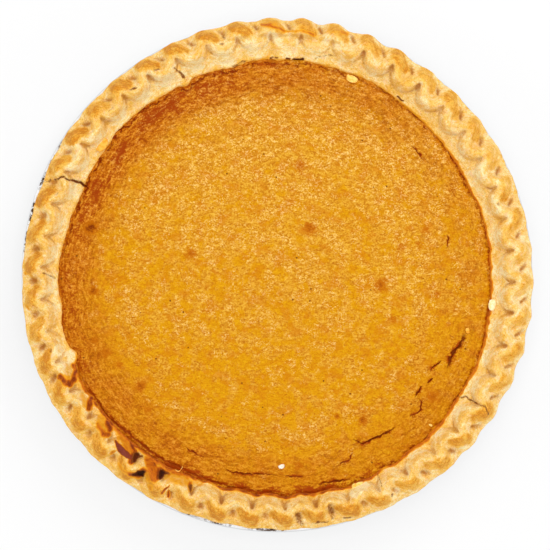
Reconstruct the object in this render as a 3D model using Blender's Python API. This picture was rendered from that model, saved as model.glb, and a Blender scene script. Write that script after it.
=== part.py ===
"""Sweet potato pie in its foil tin: a baked custard in a pastry shell with a crimped rim.

Metres, +Z up. The origin is the centre of the tin's flat base, on the surface that it
stands on. A bearing is an angle in degrees, clockwise from +Y, seen from above.
"""

import math
import random
from collections import namedtuple

import bmesh
import bpy
import numpy as np

MM = 0.001
GAP = 0.3 * MM

# Tin: a nine-inch foil plate, 9 5/8 inches over its hemmed rim.
TIN_RIM_RADIUS = 122.2 * MM
TIN_MOUTH_RADIUS = 110.8 * MM
TIN_BASE_RADIUS = 91.5 * MM
TIN_DEPTH = 29.6 * MM
TIN_SHEET = 0.3 * MM
TIN_HEEL = 3.0 * MM
TIN_SHOULDER = 1.5 * MM
HEM_RADIUS = 0.7 * MM
BASE_FAN_RADIUS = 45.0 * MM

# Pastry shell: a floor and a wall along the tin, under a rim of 46 pinched crimps.
SHELL_FLOOR = 3.0 * MM
SHELL_FLOOR_RADIUS = 88.4 * MM
CRIMPS = 46
FIRST_CRIMP = 357.8
CRIMP_DRIFT = 0.9
CRIMP_DRIFT_PEAK = 255.0
CRIMP_JITTER = 0.25
INNER_EDGE_Z = 30.3 * MM
APRON_RISE = 3.9 * MM
APRON_WIDTH = 8.0 * MM
LIP_DROP = 2.2 * MM
LIP_WIDTH = 3.6 * MM
LIP_EDGE = 1.0 * MM
LIP_UNDERCUT = 0.5 * MM
LIP_FADE = 1.4 * MM
ROPE_RISE = 4.8 * MM
ROPE_HALF_WIDTH = 4.0 * MM
ROPE_FULLNESS = 0.62
ROPE_FADE = 2.6 * MM
ROPE_SWING = 3.4 * MM
ROPE_SKEW = 0.25
ROPE_UNEVENNESS = 0.1

# Ripples round the rim: how many to a turn, how far out, and the bearing of the first.
ROPE_RADIUS = 113.4 * MM
ROPE_RIPPLES = ((1, 1.4 * MM, 20.0), (3, 0.9 * MM, 0.0))
OUTLINE_RADIUS = 122.1 * MM
OUTLINE_RIPPLES = ((3, 0.8 * MM, 4.0), (5, 0.2 * MM, 12.0))
SCALLOP = 0.3 * MM
BOLD_SCALLOPS = ((5.0, 38.0, 0.9 * MM), (115.0, 22.0, 0.5 * MM))

# Bearings and radii where the filling meets the pastry.
INNER_EDGE = tuple((bearing, radius * MM) for bearing, radius in (
    (0, 104.6), (20, 104.3), (36, 101.6), (46, 102.4), (62, 101.4),
    (80, 102.0), (97, 102.6), (115, 104.5), (140, 105.2), (162, 105.3),
    (180, 104.6), (200, 104.4), (222, 105.2), (242, 105.8), (262, 105.2),
    (280, 103.8), (292, 102.9), (310, 104.1), (328, 103.8), (352, 105.2),
))

# Filling: flat and a little sunken, with a puffed band at its edge.
FILLING_CENTRE_Z = 28.9 * MM
FILLING_BAND_RISE = 1.5 * MM
FILLING_BAND_START = 80.0 * MM
FILLING_BAND_CREST = 98.5 * MM
FILLING_EDGE_DROP = 0.5 * MM
FILLING_GAP = 0.42 * MM
SETTLED_WAVE = 0.25 * MM
SETTLED_WAVE_LENGTH = 14.0 * MM

# Cracks run from one bearing and radius to another.
Crack = namedtuple("Crack", "start end width depth")
PASTRY_CRACKS = (
    Crack((295.4, 101.0 * MM), (294.2, 116.0 * MM), 1.4 * MM, 3.6 * MM),
    Crack((123.5, 101.0 * MM), (122.8, 119.0 * MM), 0.7 * MM, 1.8 * MM),
    Crack((152.7, 102.5 * MM), (153.6, 111.0 * MM), 0.7 * MM, 1.8 * MM),
)
FILLING_CRACKS = (
    Crack((106.0, 94.6 * MM), (118.5, 92.0 * MM), 1.5 * MM, 2.0 * MM),
    Crack((122.5, 87.8 * MM), (132.0, 88.4 * MM), 1.1 * MM, 1.6 * MM),
    Crack((139.5, 92.4 * MM), (156.0, 86.2 * MM), 1.3 * MM, 1.8 * MM),
    Crack((162.0, 101.2 * MM), (169.5, 100.2 * MM), 0.9 * MM, 1.5 * MM),
    Crack((178.0, 94.9 * MM), (197.0, 95.0 * MM), 0.8 * MM, 1.2 * MM),
    Crack((200.5, 101.2 * MM), (222.0, 101.9 * MM), 1.0 * MM, 1.5 * MM),
)
CRACK_STEPS = 7
CRACK_END_SHARE = 0.3
CRACK_WANDER = 0.35 * MM
CRACK_CLEARANCE = 12.0 * MM

# The rim has a column of points every sixth of a crimp, and the rest every fourth of those.
COLUMNS_PER_CRIMP = 6
FINE_COLUMNS = CRIMPS * COLUMNS_PER_CRIMP
COARSE_COLUMNS = FINE_COLUMNS // 4
ROPE_SAMPLES = 24
ROPE_OFFSETS = (-4.3 * MM, -3.2 * MM, -1.7 * MM, 0.0, 1.7 * MM, 3.2 * MM, 4.3 * MM)
EDGE_STEP = 0.7 * MM
RING_SPACING = 0.45
FILLING_RINGS = 9
FILLING_RING_CROWDING = 0.8
ARC_STEPS = 2
HEM_STEPS = 5
SHARP_ANGLE = math.radians(50.0)
SEED = 46

PASTRY_COLOUR = (0.80, 0.50, 0.16, 1.0)
FILLING_COLOUR = (0.72, 0.30, 0.02, 1.0)
FOIL_COLOUR = (0.86, 0.87, 0.88, 1.0)


def ripple(bearings, mean, ripples):
    """Add waves round the turn to a mean value, at each bearing."""
    total = np.full(np.shape(bearings), mean)
    for count, amplitude, peak in ripples:
        total = total + amplitude * np.cos(np.radians(count * (bearings - peak)))
    return total


def smoothstep(values):
    """Ease from 0 to 1 as the values go from 0 to 1."""
    clipped = np.clip(values, 0.0, 1.0)
    return clipped * clipped * (3.0 - 2.0 * clipped)


def random_per_crimp(rng, crimps, amount):
    """One random value for each crimp, read smoothly at any count of crimps."""
    values = [rng.uniform(-amount, amount) for _ in range(CRIMPS)]
    return np.interp(np.mod(crimps, CRIMPS), range(CRIMPS + 1), values + values[:1])


def bearing_after(crimps):
    """Bearing reached after a count of crimps, which need not be whole."""
    even = FIRST_CRIMP + 360.0 * crimps / CRIMPS
    drift = CRIMP_DRIFT * np.cos(np.radians(even - CRIMP_DRIFT_PEAK))
    return even + drift + random_per_crimp(random.Random(SEED), crimps, CRIMP_JITTER)


def rope_radius(crimps):
    """Radius of the crimped rope's centre line: out at whole crimps, in at half ones."""
    turn = 2.0 * np.pi * crimps
    uneven = random_per_crimp(random.Random(SEED + 1), crimps, ROPE_UNEVENNESS)
    swing = ROPE_SWING * (1.0 + uneven) * np.cos(turn + ROPE_SKEW * np.sin(turn))
    return ripple(bearing_after(crimps), ROPE_RADIUS, ROPE_RIPPLES) + swing


def outline_radius(crimps):
    """Outer edge of the pastry, scalloped most where the crimps fold outwards."""
    bearings = bearing_after(crimps)
    depth = np.full(np.shape(crimps), SCALLOP)
    for centre, spread, extra in BOLD_SCALLOPS:
        away = np.mod(bearings - centre + 180.0, 360.0) - 180.0
        depth = depth + extra * np.exp(-((away / spread) ** 2))
    smooth = ripple(bearings, OUTLINE_RADIUS, OUTLINE_RIPPLES)
    return smooth + depth * np.cos(2.0 * np.pi * crimps)


def inner_edge_radius(bearings):
    """Inner edge of the pastry, on a smooth closed curve through INNER_EDGE."""
    knots = np.array([bearing for bearing, _ in INNER_EDGE], dtype=float)
    radii = np.array([radius for _, radius in INNER_EDGE])
    count = len(knots)
    wrapped = np.mod(bearings, 360.0)
    index = np.searchsorted(knots, wrapped, side="right") - 1
    ends = np.append(knots, knots[0] + 360.0)
    part = (wrapped - ends[index]) / (ends[index + 1] - ends[index])
    before, here, after, beyond = (radii[(index + step) % count] for step in (-1, 0, 1, 2))
    slope_in = (after - before) / 2.0
    slope_out = (beyond - here) / 2.0
    rise = after - here
    return (here + part * slope_in
            + part ** 2 * (3.0 * rise - 2.0 * slope_in - slope_out)
            + part ** 3 * (slope_in + slope_out - 2.0 * rise))


def plan_points(bearings, radii):
    """X and Y, in an array of pairs, of points at these bearings and radii."""
    angles = np.radians(bearings)
    return np.stack((radii * np.sin(angles), radii * np.cos(angles)), axis=-1)


def rope_distance(crimps, radii):
    """Distance in plan from points on the rim to the rope's centre line."""
    offsets = np.linspace(-1.0, 1.0, 2 * ROPE_SAMPLES + 1)
    along = crimps[:, None] + offsets
    line = plan_points(bearing_after(along), rope_radius(along))
    points = plan_points(bearing_after(crimps), radii)
    return np.min(np.linalg.norm(line - points[:, None, :], axis=-1), axis=1)


def apron_height(bearings, radii):
    """Height of the smooth pastry that rises from the filling and runs on under the rope."""
    inner = inner_edge_radius(bearings)
    return INNER_EDGE_Z + APRON_RISE * smoothstep((radii - inner) / APRON_WIDTH)


def rim_height(crimps, radii):
    """Height of the pastry's upper surface, from the filling out to the lip."""
    bearings = bearing_after(crimps)
    inner = inner_edge_radius(bearings)
    outer = outline_radius(crimps)
    lip = LIP_DROP * smoothstep((radii - outer + LIP_WIDTH) / LIP_WIDTH)
    across = np.clip(rope_distance(crimps, radii) / ROPE_HALF_WIDTH, 0.0, 1.0)
    fade = smoothstep((radii - inner) / ROPE_FADE) * smoothstep((outer - radii) / LIP_FADE)
    rope = ROPE_RISE * fade * (1.0 - across ** 2) ** ROPE_FULLNESS
    return apron_height(bearings, radii) - lip + rope


def ring(bm, points, heights):
    """Add a closed ring of points to a mesh."""
    level = np.broadcast_to(heights, (len(points),))
    return [bm.verts.new((x, y, z)) for (x, y), z in zip(points, level)]


def skin(bm, first, second):
    """Join two rings with faces; one ring may have a whole number of times more points."""
    few, many = sorted((first, second), key=len)
    ratio = len(many) // len(few)
    for index, point in enumerate(few):
        following = few[(index + 1) % len(few)]
        span = [many[(index * ratio + step) % len(many)] for step in range(ratio + 1)]
        if ratio == 1:
            bm.faces.new((point, following, span[1], span[0]))
            continue
        middle = ratio // 2
        for step in range(ratio):
            corner = point if step < middle else following
            bm.faces.new((corner, span[step], span[step + 1]))
        bm.faces.new((point, following, span[middle]))


def cap(bm, edge, height):
    """Close a ring with a fan of triangles to its centre."""
    centre = bm.verts.new((0.0, 0.0, height))
    for index, point in enumerate(edge):
        bm.faces.new((point, edge[(index + 1) % len(edge)], centre))


def principled(name, colour, roughness, metallic=0.0):
    """Make a plain Principled material."""
    material = bpy.data.materials.new(name)
    material.use_nodes = True
    shader = material.node_tree.nodes["Principled BSDF"]
    shader.inputs["Base Color"].default_value = colour
    shader.inputs["Roughness"].default_value = roughness
    shader.inputs["Metallic"].default_value = metallic
    return material


def finish(bm, name, material):
    """Turn a closed bmesh into a smooth-shaded object with its material."""
    bmesh.ops.recalc_face_normals(bm, faces=bm.faces)
    bmesh.ops.triangulate(bm, faces=bm.faces)
    mesh = bpy.data.meshes.new(name)
    bm.to_mesh(mesh)
    bm.free()
    mesh.shade_smooth()
    mesh.set_sharp_from_angle(angle=SHARP_ANGLE)
    mesh.materials.append(material)
    piece = bpy.data.objects.new(name, mesh)
    bpy.context.scene.collection.objects.link(piece)
    return piece


def coarse_bearings():
    """Bearings of the columns that the tin, the shell's wall and the filling share."""
    return FIRST_CRIMP + 360.0 * np.arange(COARSE_COLUMNS) / COARSE_COLUMNS


def arc(centre, radius, start, end, steps):
    """Points of an arc in a profile; its angles are in degrees from outwards to up."""
    angles = [math.radians(start + (end - start) * step / steps) for step in range(steps + 1)]
    return [(centre[0] + radius * math.cos(angle), centre[1] + radius * math.sin(angle))
            for angle in angles]


def tin_wall_radius(height):
    """Radius of the tin's sloping outer wall at a height."""
    slope = (TIN_MOUTH_RADIUS - TIN_BASE_RADIUS) / TIN_DEPTH
    return TIN_BASE_RADIUS + slope * height


def tin_section(inset):
    """Base, wall and flange of the tin's section, inset from its outer face.

    Args:
        inset: distance in from the outer face, in metres.

    Returns:
        Pairs of radius and height, from the base out to the flange.
    """
    lean = math.atan((TIN_MOUTH_RADIUS - TIN_BASE_RADIUS) / TIN_DEPTH)
    heel_centre = (tin_wall_radius(TIN_HEEL) - TIN_HEEL / math.cos(lean), TIN_HEEL)
    heel = arc(heel_centre, TIN_HEEL - inset, -90.0, -math.degrees(lean), ARC_STEPS)
    corner_z = TIN_DEPTH - TIN_SHEET - TIN_SHOULDER
    corner = (tin_wall_radius(corner_z) + TIN_SHOULDER / math.cos(lean), corner_z)
    shoulder = arc(corner, TIN_SHOULDER + inset, 180.0 - math.degrees(lean), 90.0, ARC_STEPS)
    return [(BASE_FAN_RADIUS, inset)] + heel + shoulder


def build_tin(material):
    """Foil tin: one thin sheet with a flat base, a sloping wall and a hemmed rim."""
    outer = tin_section(0.0)
    inner = tin_section(TIN_SHEET)
    hem_centre = (TIN_RIM_RADIUS - HEM_RADIUS, TIN_DEPTH - HEM_RADIUS)
    hem_start = -180.0 - math.degrees(math.asin((HEM_RADIUS - TIN_SHEET) / HEM_RADIUS))
    hem = arc(hem_centre, HEM_RADIUS, hem_start, 90.0, HEM_STEPS)
    section = outer + hem + inner[::-1]
    bm = bmesh.new()
    bearings = coarse_bearings()
    rings = [ring(bm, plan_points(bearings, radius), height) for radius, height in section]
    for lower, upper in zip(rings, rings[1:]):
        skin(bm, lower, upper)
    cap(bm, rings[0], 0.0)
    cap(bm, rings[-1], TIN_SHEET)
    return finish(bm, "tin", material)


def rim_rings(bm, crimps):
    """The rim's fine rings, from the apron over the rope and the lip to its underside."""
    bearings = bearing_after(crimps)
    inner = inner_edge_radius(bearings)
    outer = outline_radius(crimps)
    rope = rope_radius(crimps)
    radii = [inner + EDGE_STEP]
    for offset in ROPE_OFFSETS:
        lowest = inner + 2.0 * EDGE_STEP + RING_SPACING * (offset - ROPE_OFFSETS[0])
        highest = outer - 2.0 * EDGE_STEP - RING_SPACING * (ROPE_OFFSETS[-1] - offset)
        radii.append(np.clip(rope + offset, lowest, highest))
    radii.insert(1, (radii[0] + radii[1]) / 2.0)
    radii.append(outer - EDGE_STEP)
    rings = []
    for radius in radii:
        points = plan_points(bearings, radius)
        rings.append(ring(bm, points, rim_height(crimps, radius)))
    underside = TIN_DEPTH + GAP
    rings.append(ring(bm, plan_points(bearings, outer), underside + LIP_EDGE))
    rings.append(ring(bm, plan_points(bearings, outer - LIP_UNDERCUT), underside))
    return rings


def build_crust(material):
    """Pastry shell: floor, wall and crimped rim in one closed body."""
    bm = bmesh.new()
    crimps = np.arange(FINE_COLUMNS) / COLUMNS_PER_CRIMP
    coarse = coarse_bearings()
    clearance = TIN_SHEET + GAP
    inner_edge = inner_edge_radius(coarse)
    inner_rings = [
        ring(bm, plan_points(coarse, SHELL_FLOOR_RADIUS), clearance + SHELL_FLOOR),
        ring(bm, plan_points(coarse, inner_edge), INNER_EDGE_Z),
    ]
    outer_section = tin_section(clearance)
    outer_rings = [ring(bm, plan_points(coarse, radius), height)
                   for radius, height in outer_section[::-1]]
    rings = inner_rings + rim_rings(bm, crimps) + outer_rings
    for first, second in zip(rings, rings[1:]):
        skin(bm, first, second)
    cap(bm, rings[0], clearance + SHELL_FLOOR)
    cap(bm, rings[-1], clearance)
    return finish(bm, "crust", material)


def filling_height(bearings, radii):
    """Height of the custard's top: a shallow dish with a puffed band near its edge."""
    edge = inner_edge_radius(bearings)
    climb = smoothstep((radii - FILLING_BAND_START) / (FILLING_BAND_CREST - FILLING_BAND_START))
    fall = smoothstep((radii - FILLING_BAND_CREST) / (edge - FILLING_BAND_CREST))
    wave = SETTLED_WAVE * np.sin(np.radians(bearings * 2.0)) * np.sin(radii / SETTLED_WAVE_LENGTH)
    return FILLING_CENTRE_Z + FILLING_BAND_RISE * climb - FILLING_EDGE_DROP * fall + wave


def build_filling(material):
    """Custard: one solid that fills the shell up to its settled, cracked top."""
    bm = bmesh.new()
    coarse = coarse_bearings()
    floor_z = TIN_SHEET + SHELL_FLOOR + 2.0 * GAP
    edge = inner_edge_radius(coarse) - FILLING_GAP
    rings = [ring(bm, plan_points(coarse, SHELL_FLOOR_RADIUS - FILLING_GAP), floor_z)]
    for step in range(FILLING_RINGS, 0, -1):
        radius = edge * (step / FILLING_RINGS) ** FILLING_RING_CROWDING
        rings.append(ring(bm, plan_points(coarse, radius), filling_height(coarse, radius)))
    for first, second in zip(rings, rings[1:]):
        skin(bm, first, second)
    cap(bm, rings[0], floor_z)
    cap(bm, rings[-1], FILLING_CENTRE_Z)
    return finish(bm, "filling", material)


def crack_blade(bm, crack, surface, rng):
    """Add one blade along a crack: upright cheeks over a wedge, and thin at both ends.

    Args:
        bm: the mesh that takes the blade.
        crack: its ends, width and depth.
        surface: gives the height of the cracked surface at a bearing and a radius.
        rng: random source for how far the crack wanders.
    """
    bearings, radii = np.array((crack.start, crack.end)).T
    start, end = plan_points(bearings, radii)
    side = np.array((start[1] - end[1], end[0] - start[0])) / np.linalg.norm(end - start)
    sections = []
    for step in range(CRACK_STEPS + 1):
        part = step / CRACK_STEPS
        swell = math.sin(math.pi * part)
        bearing, radius = (values[0] + (values[1] - values[0]) * part
                           for values in (bearings, radii))
        middle = plan_points(bearing, radius) + side * rng.uniform(-CRACK_WANDER, CRACK_WANDER)
        share = CRACK_END_SHARE + (1.0 - CRACK_END_SHARE) * swell
        half = 0.5 * crack.width * share
        face = surface(bearing, radius)
        bottom = face - crack.depth * share
        top = face + CRACK_CLEARANCE
        corners = ((-half, top), (half, top), (half, face), (0.0, bottom), (-half, face))
        sections.append([bm.verts.new((*(middle + side * offset), height))
                         for offset, height in corners])
    for near, far in zip(sections, sections[1:]):
        skin(bm, near, far)
    bm.faces.new(sections[0])
    bm.faces.new(sections[-1])


def cut_cracks(piece, cracks, surface):
    """Cut a piece along its cracks with one hidden cutter."""
    rng = random.Random(SEED + 2)
    bm = bmesh.new()
    for crack in cracks:
        crack_blade(bm, crack, surface, rng)
    cutter = finish(bm, f"{piece.name}_cracks", piece.data.materials[0])
    cutter.hide_render = True
    cutter.display_type = "WIRE"
    modifier = piece.modifiers.new("cracks", "BOOLEAN")
    modifier.operation = "DIFFERENCE"
    modifier.object = cutter


def clear_scene():
    """Remove whatever the scene holds."""
    for existing in list(bpy.data.objects):
        bpy.data.objects.remove(existing, do_unlink=True)


def main():
    """Build the tin, the pastry shell and the filling."""
    clear_scene()
    pastry = principled("baked_pastry", PASTRY_COLOUR, 0.75)
    custard = principled("baked_custard", FILLING_COLOUR, 0.45)
    foil = principled("foil", FOIL_COLOUR, 0.3, metallic=1.0)
    build_tin(foil)
    crust = build_crust(pastry)
    cut_cracks(crust, PASTRY_CRACKS, apron_height)
    filling = build_filling(custard)
    cut_cracks(filling, FILLING_CRACKS, filling_height)


main()
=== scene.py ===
"""Sweet potato pie in its foil tin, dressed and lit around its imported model.

The tin, the pastry shell and the custard each replace one solid of the model and keep its
form, worked out from the same named sizes. Metres, +Z up; the origin is the centre of the
tin's base. A bearing is an angle in degrees, clockwise from +Y, seen from above.
"""

import logging
import math
import random
from dataclasses import dataclass
from enum import Enum
from typing import NamedTuple, Sequence

import bpy
import numpy as np
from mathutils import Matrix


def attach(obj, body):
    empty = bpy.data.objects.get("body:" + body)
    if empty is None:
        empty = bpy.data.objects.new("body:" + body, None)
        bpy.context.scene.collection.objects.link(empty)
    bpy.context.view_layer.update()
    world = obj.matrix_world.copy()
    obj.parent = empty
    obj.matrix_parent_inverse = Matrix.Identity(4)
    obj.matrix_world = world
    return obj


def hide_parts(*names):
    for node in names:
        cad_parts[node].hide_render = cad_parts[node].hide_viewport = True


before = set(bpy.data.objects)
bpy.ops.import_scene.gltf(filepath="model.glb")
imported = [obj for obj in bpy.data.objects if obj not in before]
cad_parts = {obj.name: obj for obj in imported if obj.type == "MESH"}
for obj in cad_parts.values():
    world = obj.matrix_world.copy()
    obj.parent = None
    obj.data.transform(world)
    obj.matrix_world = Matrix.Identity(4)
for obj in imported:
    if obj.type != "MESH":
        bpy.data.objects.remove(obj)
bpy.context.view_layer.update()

MM = 0.001
FULL_TURN = 360.0
MERGE_DISTANCE = 0.002 * MM
BODY = "root"

log = logging.getLogger("pie")

Colour = tuple[float, float, float, float]
Section = list[tuple[float, float]]


def shade(red: int, green: int, blue: int) -> Colour:
    """Turn a colour as a screen shows it, in steps of 255, into linear light.

    Args:
        red: red of 255.
        green: green of 255.
        blue: blue of 255.

    Returns:
        The colour for a shader's socket.
    """
    linear = [((step / 255.0 + 0.055) / 1.055) ** 2.4 if step > 10 else step / 255.0 / 12.92
              for step in (red, green, blue)]
    return (linear[0], linear[1], linear[2], 1.0)


def smoothstep(values: np.ndarray) -> np.ndarray:
    """Ease from 0 to 1 as the values go from 0 to 1."""
    clipped = np.clip(values, 0.0, 1.0)
    return clipped * clipped * (3.0 - 2.0 * clipped)


def rise(values: np.ndarray, start: float, width: float) -> np.ndarray:
    """Ease from 0 to 1 as the values go past a start by a width."""
    return smoothstep((values - start) / width)


def hump(values: np.ndarray, centre: float, spread: float) -> np.ndarray:
    """A bell of height 1 round a centre."""
    return np.exp(-(((values - centre) / spread) ** 2))


def turned_from(bearings: np.ndarray, centre: float) -> np.ndarray:
    """Degrees from a bearing to others, from -180 to 180."""
    return np.mod(bearings - centre + 180.0, FULL_TURN) - 180.0


def around(bearings: np.ndarray, centre: float, spread: float) -> np.ndarray:
    """A bell of height 1 round a bearing, its spread in degrees."""
    return hump(turned_from(bearings, centre), 0.0, spread)


def plan_points(bearings: np.ndarray, radii: np.ndarray) -> np.ndarray:
    """X and Y, in an array of pairs, of points at these bearings and radii."""
    angles = np.radians(bearings)
    return np.stack((radii * np.sin(angles), radii * np.cos(angles)), axis=-1)


def ripple(bearings: np.ndarray, mean: float,
           ripples: Sequence[tuple[int, float, float]]) -> np.ndarray:
    """Add waves round the turn to a mean value.

    Args:
        bearings: where, in degrees.
        mean: the value without waves.
        ripples: for each wave, how many to a turn, how high, and the bearing of its first.

    Returns:
        The value at each bearing.
    """
    total = np.full(np.shape(bearings), mean)
    for count, amplitude, peak in ripples:
        total = total + amplitude * np.cos(np.radians(count * (bearings - peak)))
    return total


def closed_curve(bearings: np.ndarray, knots: Sequence[tuple[float, float]]) -> np.ndarray:
    """Read a smooth closed curve through values given at some bearings.

    Args:
        bearings: where to read it, in degrees.
        knots: pairs of bearing and value, in order from bearing 0.

    Returns:
        The curve's value at each bearing.
    """
    places = np.array([bearing for bearing, _ in knots], dtype=float)
    levels = np.array([level for _, level in knots])
    count = len(places)
    wrapped = np.mod(bearings - places[0], FULL_TURN) + places[0]
    index = np.searchsorted(places, wrapped, side="right") - 1
    ends = np.append(places, places[0] + FULL_TURN)
    part = (wrapped - ends[index]) / (ends[index + 1] - ends[index])
    before, here, after, beyond = (levels[(index + step) % count] for step in (-1, 0, 1, 2))
    slope_in = (after - before) / 2.0
    slope_out = (beyond - here) / 2.0
    step = after - here
    return (here + part * slope_in
            + part ** 2 * (3.0 * step - 2.0 * slope_in - slope_out)
            + part ** 3 * (slope_in + slope_out - 2.0 * step))


def distance_to_path(points: np.ndarray, path: np.ndarray) -> tuple[np.ndarray, np.ndarray]:
    """Distance in plan from points to a path of straight runs.

    Args:
        points: pairs of X and Y, in any array shape.
        path: the path's corners, as rows of X and Y.

    Returns:
        The distance of each point, and how far along the path, from 0 to 1, it is nearest.
    """
    best = np.full(points.shape[:-1], np.inf)
    along = np.zeros(points.shape[:-1])
    runs = np.linalg.norm(np.diff(path, axis=0), axis=1)
    walked = np.concatenate(([0.0], np.cumsum(runs)))
    for start, end, run, before in zip(path, path[1:], runs, walked):
        part = np.clip(((points - start) @ (end - start)) / run ** 2, 0.0, 1.0)
        away = np.linalg.norm(points - (start + part[..., None] * (end - start)), axis=-1)
        nearer = away < best
        best = np.where(nearer, away, best)
        along = np.where(nearer, (before + part * run) / walked[-1], along)
    return best, along


@dataclass(frozen=True)
class Mottle:
    """Smooth random bumps over a plan, from -1 to 1.

    Attributes:
        size: distance from one bump to the next.
        seed: picks the pattern.
    """

    size: float
    seed: int

    def at(self, points: np.ndarray) -> np.ndarray:
        """Read the bumps at points, given as an array of pairs."""
        side = 256
        lattice = np.random.default_rng(self.seed).uniform(-1.0, 1.0, (side, side))
        cells = points / self.size
        low = np.floor(cells).astype(int)
        part = smoothstep(cells - low)
        i, j = low[..., 0] % side, low[..., 1] % side
        i_next, j_next = (i + 1) % side, (j + 1) % side
        u, v = part[..., 0], part[..., 1]
        near = lattice[i, j] * (1.0 - u) + lattice[i_next, j] * u
        far = lattice[i, j_next] * (1.0 - u) + lattice[i_next, j_next] * u
        return near * (1.0 - v) + far * v


def bumps(points: np.ndarray, *layers: tuple[float, float, int]) -> np.ndarray:
    """Add up layers of mottle.

    Args:
        points: where, as an array of pairs.
        *layers: the height of each layer, its size in millimetres and its seed.

    Returns:
        The sum at each point.
    """
    return sum(height * Mottle(size * MM, seed).at(points) for height, size, seed in layers)


def warp(points: np.ndarray, size: float, seeds: tuple[int, int]) -> np.ndarray:
    """Two patterns of bumps, as X and Y, to push points about by."""
    return np.stack([Mottle(size, seed).at(points) for seed in seeds], axis=-1)


def table(kind: type, *rows: tuple) -> tuple:
    """Make one thing of a kind from each row of values."""
    return tuple(kind(*row) for row in rows)


def shares(amounts: np.ndarray) -> np.ndarray:
    """Keep amounts between 0 and 1."""
    return np.clip(amounts, 0.0, 1.0)


# ---------------------------------------------------------------- form of the solid model


def arc(centre: tuple[float, float], radius: float, start: float, end: float,
        steps: int) -> Section:
    """Points of an arc in a section.

    Args:
        centre: radius and height of the arc's centre.
        radius: the arc's radius.
        start: first angle in degrees, from outwards to up.
        end: last angle in degrees.
        steps: how many chords.

    Returns:
        Pairs of radius and height.
    """
    angles = [math.radians(start + (end - start) * step / steps) for step in range(steps + 1)]
    return [(centre[0] + radius * math.cos(angle), centre[1] + radius * math.sin(angle))
            for angle in angles]


@dataclass(frozen=True)
class TinForm:
    """Sizes and section of the foil tin, as the solid model has them."""

    rim_radius: float = 122.2 * MM
    mouth_radius: float = 110.8 * MM
    base_radius: float = 91.5 * MM
    depth: float = 29.6 * MM
    sheet: float = 0.3 * MM
    heel: float = 3.0 * MM
    shoulder: float = 1.5 * MM
    hem_radius: float = 0.7 * MM
    arc_steps: int = 4
    wall_steps: int = 8

    @property
    def lean(self) -> float:
        """Angle of the wall from upright, in radians."""
        return math.atan((self.mouth_radius - self.base_radius) / self.depth)

    def wall_radius(self, height: float) -> float:
        """Radius of the sloping outer wall at a height."""
        slope = (self.mouth_radius - self.base_radius) / self.depth
        return self.base_radius + slope * height

    def section(self, inset: float) -> Section:
        """Heel, wall and shoulder of the section.

        Args:
            inset: distance in from the tin's outer face.

        Returns:
            Pairs of radius and height, from the base out to the flange.
        """
        centre = (self.wall_radius(self.heel) - self.heel / math.cos(self.lean), self.heel)
        tilt = math.degrees(self.lean)
        heel = arc(centre, self.heel - inset, -90.0, -tilt, self.arc_steps)
        corner_z = self.depth - self.sheet - self.shoulder
        corner = (self.wall_radius(corner_z) + self.shoulder / math.cos(self.lean), corner_z)
        shoulder = arc(corner, self.shoulder + inset, 180.0 - tilt, 90.0, self.arc_steps)
        wall = [(heel[-1][0] + (shoulder[0][0] - heel[-1][0]) * step / self.wall_steps,
                 heel[-1][1] + (shoulder[0][1] - heel[-1][1]) * step / self.wall_steps)
                for step in range(1, self.wall_steps)]
        return heel + wall + shoulder


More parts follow.
